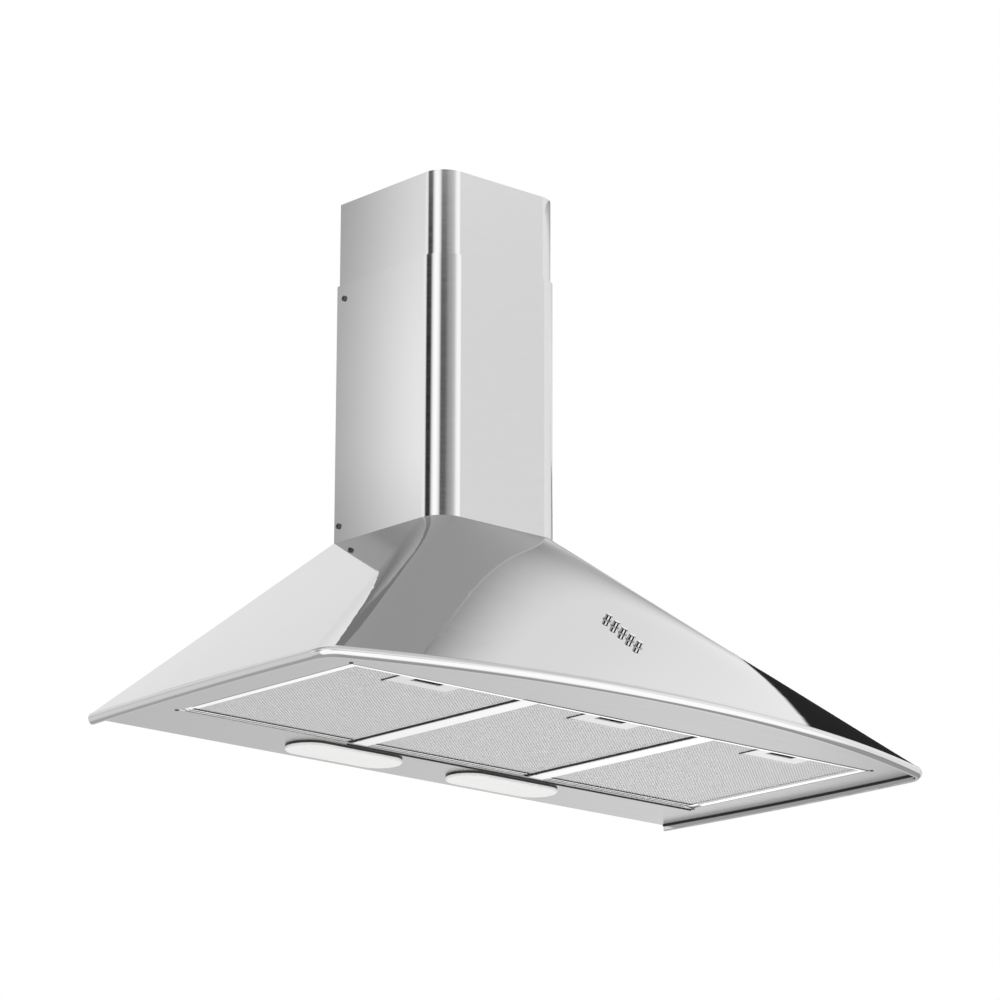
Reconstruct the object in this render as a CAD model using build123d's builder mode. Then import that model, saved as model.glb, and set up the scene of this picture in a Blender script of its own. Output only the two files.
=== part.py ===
from build123d import *
import os
from math import atan2, cos, radians, sin, sqrt

# Wall-mounted chimney range hood, 90 cm wide.
# Frame: X to the right as seen from the cook, Y towards the wall, Z up.
# The wall is the plane Y = 0. The origin is the centre of the four wall holes.

# ---------------------------------------------------------------- sizes, mm
# Canopy and its rolled rim
WIDTH = 900                 # over the rim where it is widest
DEPTH = 500                 # wall to the middle of the bowed front
BOW_RADIUS = 1254           # plan curve of the front
SIDE_RADIUS = 3800          # plan curve of the two sides
SIDE_WIDEST = 310           # distance of the widest point from the wall
RIM_CORNER = 32             # plan radius of the two front corners
RIM_RISE = 6                # rim above the underside
RIM_DROP = 7                # rim below the underside
RIM_BULGE = 5               # how far the rim stands out from the canopy skin
RIM_WIDTH = 8               # outer face to inner wall
RIM_SHEET = 1.2             # metal thickness of the rolled rim
RIM_FLANGE = 9              # inward flange that carries the canopy skin
RIM_CURL = 1                # radius of the curled lower edge
RIM_FOOT = 4.2              # where the convex face ends, inwards of its outermost line
RIM_BELLY = 1.6             # outermost line below the underside
CANOPY_HEIGHT = 258.6       # underside to the shelf under the chimney
CANOPY_SKIN = 1.8           # horizontal thickness of the sloping skin
SHELF_SHEET = 1.2           # thickness of the shelf under the chimney
SHELF_BORDER = 8            # width of the shelf around its opening

# Chimney covers
CHIMNEY_WIDTH = 190
CHIMNEY_DEPTH = 185
CHIMNEY_CORNER = 31
CHIMNEY_SHEET = 1
CHIMNEY_FLANGE = 15         # inward flange along the wall
LOWER_COVER_LENGTH = 312
UPPER_COVER_LENGTH = 300
UPPER_COVER_SHOWN = 102     # length of the upper cover above the lower one
COVER_STEP = 2.45           # lower cover's outside to upper cover's outside
GUIDE_CLEARANCE = 0.3       # sliding gap around the upper cover
GUIDE_LENGTH = 20
GUIDE_WIDTH = 14

# Wall fixing
WALL_HOLES_HEIGHT = 130     # pattern centre above the underside
WALL_HOLES_WIDE = 200
WALL_HOLES_TALL = 140
WALL_HOLE = 4               # hole radius
BACK_SHEET = 1.5
BACK_MARGIN = 2             # back plate inside the canopy skin
BACK_RETURN = 12            # folded foot of the back plate

# Underside panel and filter field
PANEL_SHEET = 1
PANEL_HEM = 1               # folded edge around the filter field
PANEL_HEM_WIDTH = 7
FIELD_SIDE = 64.1           # filter field inside the widest line of the rim
FIELD_FRONT = 384           # front edge of the filter field from the wall
FIELD_REAR = 95.5           # rear edge of the filter field from the wall
FILTER_COUNT = 3
CROSSBAR_WIDTH = 21.9
CROSSBAR_HEIGHT = 7
CROSSBAR_SHEET = 1.2
RELIEF_HOLE = 2             # corner relief hole radius
RELIEF_OFFSET = 2.2         # hole centre outside the field's corner

# Grease filters
FILTER_GAP = 1.2            # frame to opening edge
FILTER_HEIGHT = 8
FILTER_SHEET = 0.8
FILTER_LIP = 4.5            # visible width of the frame
SEAT_GAP = 0.3              # running gap between moving pieces
FIT_GAP = 0.1               # gap around pieces that are set into each other
TAB_WIDTH = 16
TAB_REACH = 6               # tab beyond the rear edge of the field
TAB_SPREAD = 160            # distance between the two tabs

# Filter latch
LATCH_WIDTH = 88
LATCH_REACH = 41            # plate from the filter's front wall inwards
LATCH_SHEET = 0.8
SLOT_WIDTH = 40
SLOT_FRONT = 371.5          # slot edges from the wall
SLOT_REAR = 358
LATCH_TRAVEL = 4
SLIDER_WIDTH = 60
SLIDER_SHEET = 1.2
SLIDER_REAR = 352           # slider's rear edge from the wall
SLIDER_FRONT_GAP = 0.4      # slider body to the filter's front wall
TONGUE_WIDTH = 24
TONGUE_CLEARANCE = 0.3      # tongue tip to the panel's edge
FINGER_LIP = 2              # depth of the slider's finger lip below the slider
SPRING_SHEET = 0.4
SPRING_HEIGHT = 3
SPRING_WIDTH = 50
LIP_SIDE_GAP = 1            # finger lip inside the slot's ends

# Lamps
LAMP_SPREAD = 238           # distance between the two lamp centres
LAMP_FROM_WALL = 52
LAMP_LENGTH = 155
LAMP_WIDTH = 56
BEZEL_DROP = 3.5
BEZEL_WALL = 2.5
LENS_DROP = 1.6             # lens below the bezel
LENS_INSET = 0.5
LENS_ROUNDING = 1.2
LAMP_CUTOUT_INSET = 4
LAMP_BOX_HEIGHT = 46
LAMP_BOX_SHEET = 0.8
LAMP_BOX_FLANGE = 4
LAMP_HEIGHT = 23            # bulb axis above the underside
BULB_RADIUS = 16
BULB_NECK = 7
BULB_LENGTH = 78
SOCKET_RADIUS = 13
SOCKET_LENGTH = 30
SOCKET_DEPTH = 20           # bulb neck inside the socket
SOCKET_INSET = 6.5          # socket's outer end from the lamp housing's inside
SOCKET_POST = 16            # post that hangs the socket from the housing
NECK_LENGTH = 30
GLOBE_START = 46            # full bulb radius from here on

# Push buttons, in a column down the middle of the front
BUTTON_COUNT = 5
BUTTON_PITCH = 15.6
BUTTON_RADIUS = 4
BUTTON_STAND = 6.5          # cap above the canopy skin
BUTTON_TRAVEL = 3
BUTTON_CLEARANCE = 0.3
BUTTON_FLANGE = 1.2         # retaining flange beyond the cap's radius
BUTTON_FLANGE_SHEET = 1
BUTTON_EDGE = 0.8           # rounding of the cap
BUTTON_ROW_HEIGHT = 97.5    # middle of the column above the underside
PLUNGER_RADIUS = 1.8
PLUNGER_LENGTH = 7
BUTTON_BEZEL_WALL = 1.1
BUTTON_BEZEL_STAND = 0.8
SWITCH_BOX_WIDTH = 20
SWITCH_BOX_DEPTH = 19
SWITCH_BOX_WALL = 2
SWITCH_BOX_MARGIN = 11      # beyond the first and last button
CONTACT_RAIL = 8            # width of the contact rail under the plungers

# Blower
BLOWER_HEIGHT = 135         # impeller axis above the underside
IMPELLER_RADIUS = 70
IMPELLER_WIDTH = 92
IMPELLER_RING = 2
BLADE_COUNT = 30
BLADE_ROOT = 57
BLADE_TIP_SWEEP = 9         # degrees, forwards in the direction of rotation
BLADE_MID_SWEEP = 1.5
BLADE_THICKNESS = 1.1       # degrees of arc
HUB_RADIUS = 12
HUB_LENGTH = 12
DISC_SHEET = 2
SCROLL_START = 78           # inner radius at the tongue
SCROLL_STEP = 9             # growth of the radius at each quarter
SCROLL_WALL = 2
SCROLL_WIDTH = 110          # inside width
SCROLL_OUTLET = 90          # inside depth of the outlet
SCROLL_FLANGE = 12
SCROLL_FLANGE_SHEET = 3
OUTLET_CORNER = 6
INLET_RADIUS = 54
MOTOR_RADIUS = 42
MOTOR_EDGE = 4
SHAFT_RADIUS = 4
SHAFT_CLEARANCE = 0.05
SHAFT_IN_MOTOR = 22
SHAFT_END = 2               # shaft beyond the impeller's disc
MOTOR_GAP = 2               # motor to impeller hub
BRACKET_RING = 8            # width of the motor bracket's ring
BRACKET_SHEET = 2.5
BRACKET_HUB = 24
BRACKET_ARM = 12
BRACKET_ARMS = 3
BRACKET_RING_GAP = 2        # ring outside the inlet's edge
DECK_SHEET = 1.5
DECK_MARGIN = 3.5           # deck inside the shelf's outline
COLLAR_RADIUS = 60          # outside, for a 120 mm duct
COLLAR_WALL = 2
COLLAR_HEIGHT = 45
COLLAR_FLANGE_MARGIN = 4    # flange beyond the outer screws
COLLAR_FLANGE_SHEET = 2
COLLAR_FLANGE_CORNER = 10
LEDGE_WIDTH = 3             # ledge the flaps close onto
LEDGE_SHEET = 1
FLAP_HEIGHT = 14            # hinge axis above the collar's flange
FLAP_SHEET = 1
FLAP_GAP = 0.5
FLAP_ROOT = 3.6             # plate edge from the hinge axis
PIN_RADIUS = 1.5
PIN_CLEARANCE = 0.08
KNUCKLE_RADIUS = 3
KNUCKLE_LENGTH = 10
KNUCKLE_SPREAD = 35         # outer knuckle's centre from the middle
KNUCKLE_SHIFT = 20          # outer to inner knuckle

# Fasteners and electrical parts
SCREW_RADIUS = 1.9
SCREW_HOLE = 2
SCREW_HEAD = 3.4
SCREW_HEAD_HEIGHT = 1.6
SCREW_SOCKET = 1.5
SCREW_SOCKET_DEPTH = 0.9
COVER_SCREW_LOW = 19        # lower cover screws above the shelf
COVER_SCREW_LOW_WALL = 8    # and from the wall
COVER_SCREW_HIGH = 17.6     # upper ones below the seam
COVER_SCREW_HIGH_WALL = 13
COVER_TAB_WIDTH = 12
COVER_TAB_HEIGHT = 26
COVER_TAB_SHEET = 0.9
BRACKET_STRIP = 28          # height of the upper wall bracket
STRIP_SHEET = 1.5
BRACKET_BELOW_TOP = 6
STRIP_GAP = 0.2             # strip to the upper cover's flanges
STRIP_MARGIN = 0.25         # strip inside the upper cover's sides
STRIP_LEDGE = 8             # folded lower edge
STRIP_SCREWS = 169          # spacing of the screws in the flanges
BRACKET_HOLES = 120
BRACKET_HOLE = 2.5
BRACKET_PAD = 9
JUNCTION_WIDTH = 80
JUNCTION_HEIGHT = 60
JUNCTION_DEPTH = 34
JUNCTION_FROM_MIDDLE = 190
JUNCTION_CENTRE_HEIGHT = 85
JUNCTION_EDGE = 3
JUNCTION_WALL = 2
GLAND_BORE = 3.2
GLAND_RADIUS = 5.4
GLAND_HEIGHT = 12
GLAND_NUT = 7
GLAND_NUT_HEIGHT = 4
GLAND_FROM_MIDDLE = 77
GLAND_FROM_WALL = 22

# ------------------------------------------------------------ derived values
underside = -WALL_HOLES_HEIGHT
canopy_foot = underside + RIM_RISE
shelf_top = underside + CANOPY_HEIGHT
shelf_bottom = shelf_top - SHELF_SHEET
deck_bottom = shelf_bottom - DECK_SHEET
seam = shelf_top + LOWER_COVER_LENGTH
upper_top = seam + UPPER_COVER_SHOWN
half_chimney = CHIMNEY_WIDTH / 2
lower_inside = half_chimney - CHIMNEY_SHEET
upper_outside = half_chimney - COVER_STEP
upper_back = -(CHIMNEY_SHEET + GUIDE_CLEARANCE)
guide_thickness = lower_inside - upper_outside - GUIDE_CLEARANCE
tab_middle = lower_inside - FIT_GAP - COVER_TAB_SHEET / 2
cover_shank = CHIMNEY_SHEET + guide_thickness
strip_back = upper_back - CHIMNEY_SHEET - STRIP_GAP
strip_front = strip_back - STRIP_SHEET
strip_half = upper_outside - CHIMNEY_SHEET - STRIP_MARGIN
strip_middle = upper_top - BRACKET_BELOW_TOP - BRACKET_STRIP / 2

panel_top = underside + PANEL_SHEET
hem_top = panel_top + PANEL_HEM
field_length = FIELD_FRONT - FIELD_REAR
field_middle = -(FIELD_FRONT + FIELD_REAR) / 2
field_width = WIDTH - 2 * FIELD_SIDE
window_width = (field_width - (FILTER_COUNT - 1) * CROSSBAR_WIDTH) / FILTER_COUNT
filter_pitch = window_width + CROSSBAR_WIDTH
filter_width = window_width - 2 * FILTER_GAP
filter_length = field_length - 2 * FILTER_GAP
filter_bottom = hem_top + SEAT_GAP
filter_top = filter_bottom + FILTER_HEIGHT
filter_front = -FIELD_FRONT + FILTER_GAP
filter_rear = -FIELD_REAR - FILTER_GAP
tab_front = filter_rear - FILTER_LIP
tab_rear = -FIELD_REAR + TAB_REACH
mesh_bottom = filter_bottom + FILTER_SHEET
mesh_top = filter_top - FILTER_SHEET
latch_front = filter_front + FILTER_SHEET
latch_rear = latch_front + LATCH_REACH
latch_wall_top = mesh_top - FIT_GAP
slider_front = latch_front + LATCH_SHEET + SLIDER_FRONT_GAP
slider_bottom = mesh_bottom + LATCH_SHEET + SEAT_GAP
slider_top = slider_bottom + SLIDER_SHEET
tongue_tip = -FIELD_FRONT + TONGUE_CLEARANCE
tongue_notch = TONGUE_WIDTH + 2 * SEAT_GAP
lip_rear = -SLOT_REAR - LATCH_TRAVEL - SEAT_GAP
lip_front = lip_rear - SLIDER_SHEET
spring_tips = latch_rear - LATCH_SHEET - LATCH_TRAVEL - SEAT_GAP
spring_half = SPRING_WIDTH / 2

lens_plug = 2 * (BEZEL_WALL + FIT_GAP)
lens_drop_full = BEZEL_DROP + LENS_DROP
socket_end = LAMP_LENGTH / 2 - LAMP_CUTOUT_INSET - SOCKET_INSET
socket_start = socket_end - SOCKET_LENGTH
lamp_axis = underside + LAMP_HEIGHT
lamp_box_top = panel_top + LAMP_BOX_HEIGHT

skin_run = DEPTH - RIM_BULGE - CHIMNEY_DEPTH
skin_rise = shelf_top - canopy_foot
front_slope = atan2(skin_rise, skin_run)
row_y = -CHIMNEY_DEPTH - (CANOPY_HEIGHT - BUTTON_ROW_HEIGHT) * skin_run / skin_rise
row_plane = Plane(
    origin=(0, row_y, underside + BUTTON_ROW_HEIGHT),
    x_dir=(1, 0, 0),
    z_dir=(0, -sin(front_slope), cos(front_slope)),
)
row_length = (BUTTON_COUNT - 1) * BUTTON_PITCH
button_hole = BUTTON_RADIUS + BUTTON_CLEARANCE
switch_front = -CANOPY_SKIN * sin(front_slope) - SEAT_GAP
switch_inside = switch_front - SWITCH_BOX_WALL
switch_floor = switch_front - SWITCH_BOX_DEPTH + SWITCH_BOX_WALL
button_flange_top = switch_inside - SEAT_GAP
button_flange_bottom = button_flange_top - BUTTON_FLANGE_SHEET
rail_top = button_flange_bottom - PLUNGER_LENGTH - BUTTON_TRAVEL - SEAT_GAP

collar_y = -CHIMNEY_DEPTH / 2
outlet_rear = collar_y + SCROLL_OUTLET / 2
outlet_front = collar_y - SCROLL_OUTLET / 2
scroll_last = SCROLL_START + 2 * SCROLL_STEP
blower_y = outlet_rear - SCROLL_STEP / 2 - scroll_last
blower_z = underside + BLOWER_HEIGHT
side_plane = Plane(origin=(0, blower_y, blower_z), x_dir=(0, 1, 0), z_dir=(1, 0, 0))
scroll_half = SCROLL_WIDTH / 2
scroll_side = scroll_half + SCROLL_WALL
deck_screws_wide = 2 * scroll_side + SCROLL_FLANGE
deck_screws_deep = SCROLL_OUTLET + 2 * SCROLL_WALL + SCROLL_FLANGE
half_impeller = IMPELLER_WIDTH / 2
hub_start = -DISC_SHEET / 2 - HUB_LENGTH
motor_end = hub_start - MOTOR_GAP
bracket_inside = INLET_RADIUS + BRACKET_RING_GAP
collar_inside = COLLAR_RADIUS - COLLAR_WALL
collar_flange = deck_screws_wide + 2 * COLLAR_FLANGE_MARGIN
collar_top_face = shelf_bottom + COLLAR_FLANGE_SHEET
flap_axis = collar_top_face + FLAP_HEIGHT
flap_bottom = flap_axis - FLAP_SHEET / 2
flange_screw_shank = COLLAR_FLANGE_SHEET + DECK_SHEET + SCROLL_FLANGE_SHEET


# ------------------------------------------------------------ shared outlines
def left_front_meeting(centre_a, radius_a, centre_b, radius_b):
    """Left-front point where two plan circles meet."""
    dx = centre_b[0] - centre_a[0]
    dy = centre_b[1] - centre_a[1]
    gap = sqrt(dx * dx + dy * dy)
    along = (radius_a**2 - radius_b**2 + gap**2) / (2 * gap)
    across = sqrt(radius_a**2 - along**2)
    foot_x = centre_a[0] + along * dx / gap
    foot_y = centre_a[1] + along * dy / gap
    meetings = [
        (foot_x - side * across * dy / gap, foot_y + side * across * dx / gap)
        for side in (-1, 1)
    ]
    return min(meetings, key=sum)


def on_circle(centre, towards, radius):
    """Point of a circle that lies towards another point."""
    dx = towards[0] - centre[0]
    dy = towards[1] - centre[1]
    reach = sqrt(dx * dx + dy * dy)
    return (centre[0] + radius * dx / reach, centre[1] + radius * dy / reach)


def mirrored(point):
    """The same plan point on the other side of the middle."""
    return (-point[0], point[1])


def polar(radius, angle):
    """Point at a radius and an angle in degrees."""
    return (radius * cos(radians(angle)), radius * sin(radians(angle)))


bow_centre = (0, BOW_RADIUS - DEPTH)
side_centre = (SIDE_RADIUS - WIDTH / 2, -SIDE_WIDEST)
corner_centre = left_front_meeting(
    side_centre, SIDE_RADIUS - RIM_CORNER, bow_centre, BOW_RADIUS - RIM_CORNER
)


def wall_end(inset, past_wall=0):
    """Left end of the rim line, on the wall or a little past it."""
    run = SIDE_WIDEST + past_wall
    return (side_centre[0] - sqrt((SIDE_RADIUS - inset) ** 2 - run**2), past_wall)


def rim_curve(inset, past_wall=0):
    """Rim line from wall to wall, moved inwards: side, corner, bow, corner, side."""
    start = wall_end(inset, past_wall)
    side_mid = (inset - WIDTH / 2, -SIDE_WIDEST)
    side_end = on_circle(side_centre, corner_centre, SIDE_RADIUS - inset)
    bow_start = on_circle(bow_centre, corner_centre, BOW_RADIUS - inset)
    chord_mid = ((side_end[0] + bow_start[0]) / 2, (side_end[1] + bow_start[1]) / 2)
    corner_mid = on_circle(corner_centre, chord_mid, RIM_CORNER - inset)
    ThreePointArc(start, side_mid, side_end)
    ThreePointArc(side_end, corner_mid, bow_start)
    ThreePointArc(bow_start, (0, inset - DEPTH), mirrored(bow_start))
    ThreePointArc(mirrored(bow_start), mirrored(corner_mid), mirrored(side_end))
    ThreePointArc(mirrored(side_end), mirrored(side_mid), mirrored(start))


def rim_outline(inset, past_wall=0):
    """Closed rim line, with its straight side along the wall."""
    rim_curve(inset, past_wall)
    start = wall_end(inset, past_wall)
    Line(mirrored(start), start)


def chimney_outline(inset, back=0):
    """Closed outline of the chimney, moved inwards, with square rear corners."""
    half = half_chimney - inset
    front = inset - CHIMNEY_DEPTH
    FilletPolyline(
        (-half, back),
        (-half, front),
        (half, front),
        (half, back),
        radius=CHIMNEY_CORNER - inset,
    )
    Line((half, back), (-half, back))


def scroll_outline(wall):
    """Scroll of three growing quarter arcs and a straight outlet, moved outwards."""
    half_step = SCROLL_STEP / 2
    front = outlet_front - blower_y - wall
    rear = half_step + scroll_last + wall
    top = deck_bottom - blower_z
    first = SCROLL_START + wall
    Line((front, top), (front, first - half_step))
    Line((front, first - half_step), (-half_step, first - half_step))
    CenterArc((-half_step, -half_step), first, 90, 90)
    CenterArc((half_step, -half_step), first + SCROLL_STEP, 180, 90)
    CenterArc((half_step, half_step), first + 2 * SCROLL_STEP, 270, 90)
    Line((rear, half_step), (rear, top))
    Line((rear, top), (front, top))


os.makedirs("parts", exist_ok=True)

# ------------------------------------------------------------------- canopy
# bowed front, gently curved sides and conical corners, all straight down the slope
with BuildPart() as canopy_shell:
    with BuildSketch(Plane.XY.offset(canopy_foot)):
        with BuildLine():
            rim_outline(RIM_BULGE)
        make_face()
    with BuildSketch(Plane.XY.offset(shelf_top)):
        with BuildLine():
            chimney_outline(0)
        make_face()
    loft(ruled=True)
    with BuildSketch(Plane.XY.offset(canopy_foot)):
        with BuildLine():
            rim_outline(RIM_BULGE + CANOPY_SKIN, CANOPY_SKIN)
        make_face()
    with BuildSketch(Plane.XY.offset(shelf_top)):
        with BuildLine():
            chimney_outline(CANOPY_SKIN, CANOPY_SKIN)
        make_face()
    loft(ruled=True, mode=Mode.SUBTRACT)
    # shelf that carries the chimney, open in the middle
    with BuildSketch(Plane.XY.offset(shelf_bottom)):
        with BuildLine():
            chimney_outline(0)
        make_face()
        with Locations((0, collar_y)):
            RectangleRounded(
                CHIMNEY_WIDTH - 2 * SHELF_BORDER,
                CHIMNEY_DEPTH - 2 * SHELF_BORDER,
                CHIMNEY_CORNER - SHELF_BORDER,
                mode=Mode.SUBTRACT,
            )
    extrude(amount=SHELF_SHEET)
    # upright tabs that take the chimney's lower screws
    with BuildSketch(Plane.XY.offset(shelf_bottom)):
        with Locations((0, -COVER_SCREW_LOW_WALL)):
            with GridLocations(2 * tab_middle, 0, 2, 1):
                Rectangle(COVER_TAB_SHEET, COVER_TAB_WIDTH)
    extrude(amount=SHELF_SHEET + COVER_TAB_HEIGHT)
    with BuildSketch(Plane.YZ):
        with Locations((-COVER_SCREW_LOW_WALL, shelf_top + COVER_SCREW_LOW)):
            Circle(SCREW_HOLE)
    extrude(amount=half_chimney, both=True, mode=Mode.SUBTRACT)
    # holes for the push buttons
    with BuildSketch(row_plane):
        with GridLocations(0, BUTTON_PITCH, 1, BUTTON_COUNT):
            Circle(button_hole)
    extrude(amount=CANOPY_SKIN, both=True, mode=Mode.SUBTRACT)
canopy_shell.part.label = "canopy_shell"
export_step(canopy_shell.part, "parts/canopy_shell.step")

# rolled rim: flange under the skin, convex face, curled lower edge, upright inner wall
rim_start = wall_end(0, RIM_WIDTH)
rim_inward = (side_centre[0] - rim_start[0], side_centre[1] - rim_start[1], 0)
rim_section = Plane(
    origin=(*rim_start, underside),
    x_dir=rim_inward,
    z_dir=(rim_inward[1], -rim_inward[0], 0),
)
with BuildPart() as rim_trim:
    with BuildLine(Plane.XY.offset(underside)):
        rim_curve(0, RIM_WIDTH)
    with BuildSketch(rim_section):
        with BuildLine():
            ThreePointArc(
                (RIM_BULGE, RIM_RISE), (0, -RIM_BELLY), (RIM_FOOT, -RIM_DROP)
            )
            Line((RIM_FOOT, -RIM_DROP), (RIM_WIDTH - RIM_CURL, -RIM_DROP))
            CenterArc((RIM_WIDTH - RIM_CURL, RIM_CURL - RIM_DROP), RIM_CURL, 270, 90)
            Polyline(
                (RIM_WIDTH, RIM_CURL - RIM_DROP),
                (RIM_WIDTH, 0),
                (RIM_WIDTH - RIM_SHEET, 0),
                (RIM_WIDTH - RIM_SHEET, RIM_SHEET - RIM_DROP),
                (RIM_FOOT + RIM_SHEET / 2, RIM_SHEET - RIM_DROP),
            )
            ThreePointArc(
                (RIM_FOOT + RIM_SHEET / 2, RIM_SHEET - RIM_DROP),
                (RIM_SHEET, -RIM_BELLY),
                (RIM_BULGE + RIM_SHEET / 2, RIM_RISE - RIM_SHEET),
            )
            Polyline(
                (RIM_BULGE + RIM_SHEET / 2, RIM_RISE - RIM_SHEET),
                (RIM_BULGE + RIM_FLANGE, RIM_RISE - RIM_SHEET),
                (RIM_BULGE + RIM_FLANGE, RIM_RISE),
                (RIM_BULGE, RIM_RISE),
            )
        make_face()
    sweep()
    split(bisect_by=Plane.XZ)
rim_trim.part.label = "rim_trim"
export_step(rim_trim.part, "parts/rim_trim.step")

with BuildPart() as underside_panel:
    with BuildSketch(Plane.XY.offset(underside)):
        with BuildLine():
            rim_outline(RIM_WIDTH - RIM_SHEET)
        make_face()
        with Locations((0, -LAMP_FROM_WALL)):
            with GridLocations(LAMP_SPREAD, 0, 2, 1):
                SlotOverall(
                    LAMP_LENGTH - 2 * LAMP_CUTOUT_INSET,
                    LAMP_WIDTH - 2 * LAMP_CUTOUT_INSET,
                    mode=Mode.SUBTRACT,
                )
    extrude(amount=PANEL_SHEET)
    # hem around the filter field
    with BuildSketch(Plane.XY.offset(panel_top)):
        with Locations((0, field_middle)):
            Rectangle(field_width + 2 * PANEL_HEM_WIDTH, field_length + 2 * PANEL_HEM_WIDTH)
    extrude(amount=PANEL_HEM)
    # filter field and its corner relief holes
    with BuildSketch(Plane.XY.offset(underside)):
        with Locations((0, field_middle)):
            Rectangle(field_width, field_length)
            with GridLocations(
                field_width + 2 * RELIEF_OFFSET, field_length + 2 * RELIEF_OFFSET, 2, 2
            ):
                Circle(RELIEF_HOLE)
    extrude(amount=PANEL_SHEET + PANEL_HEM, mode=Mode.SUBTRACT)
underside_panel.part.label = "underside_panel"
export_step(underside_panel.part, "parts/underside_panel.step")

# folded bars between the filters, lying across the field
for number in range(1, FILTER_COUNT):
    bar_x = (number - FILTER_COUNT / 2) * filter_pitch
    with BuildPart() as crossbar:
        with BuildSketch(Plane.XZ.offset(FIELD_REAR)):
            with Locations((bar_x, underside + CROSSBAR_HEIGHT / 2)):
                Rectangle(CROSSBAR_WIDTH, CROSSBAR_HEIGHT)
            with Locations((bar_x, underside + CROSSBAR_SHEET + CROSSBAR_HEIGHT / 2)):
                Rectangle(
                    CROSSBAR_WIDTH - 2 * CROSSBAR_SHEET, CROSSBAR_HEIGHT, mode=Mode.SUBTRACT
                )
        extrude(amount=field_length)
    crossbar.part.label = f"crossbar_{number}"
    export_step(crossbar.part, f"parts/crossbar_{number}.step")

# plate against the wall, with a folded foot that stands on the rim's flange
back_foot_half = -wall_end(RIM_BULGE + CANOPY_SKIN)[0] - BACK_MARGIN
back_top_half = half_chimney - CANOPY_SKIN - BACK_MARGIN
with BuildPart() as back_plate:
    with BuildSketch(Plane.XZ):
        with BuildLine():
            Polyline(
                (-back_foot_half, canopy_foot),
                (-back_top_half, shelf_bottom),
                (back_top_half, shelf_bottom),
                (back_foot_half, canopy_foot),
                close=True,
            )
        make_face()
        with GridLocations(WALL_HOLES_WIDE, WALL_HOLES_TALL, 2, 2):
            Circle(WALL_HOLE, mode=Mode.SUBTRACT)
    extrude(amount=BACK_SHEET)
    with BuildSketch(Plane.XY.offset(canopy_foot)):
        with Locations((0, -BACK_RETURN / 2)):
            Rectangle(2 * (back_foot_half - BACK_MARGIN), BACK_RETURN)
    extrude(amount=BACK_SHEET)
back_plate.part.label = "back_plate"
export_step(back_plate.part, "parts/back_plate.step")

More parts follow.
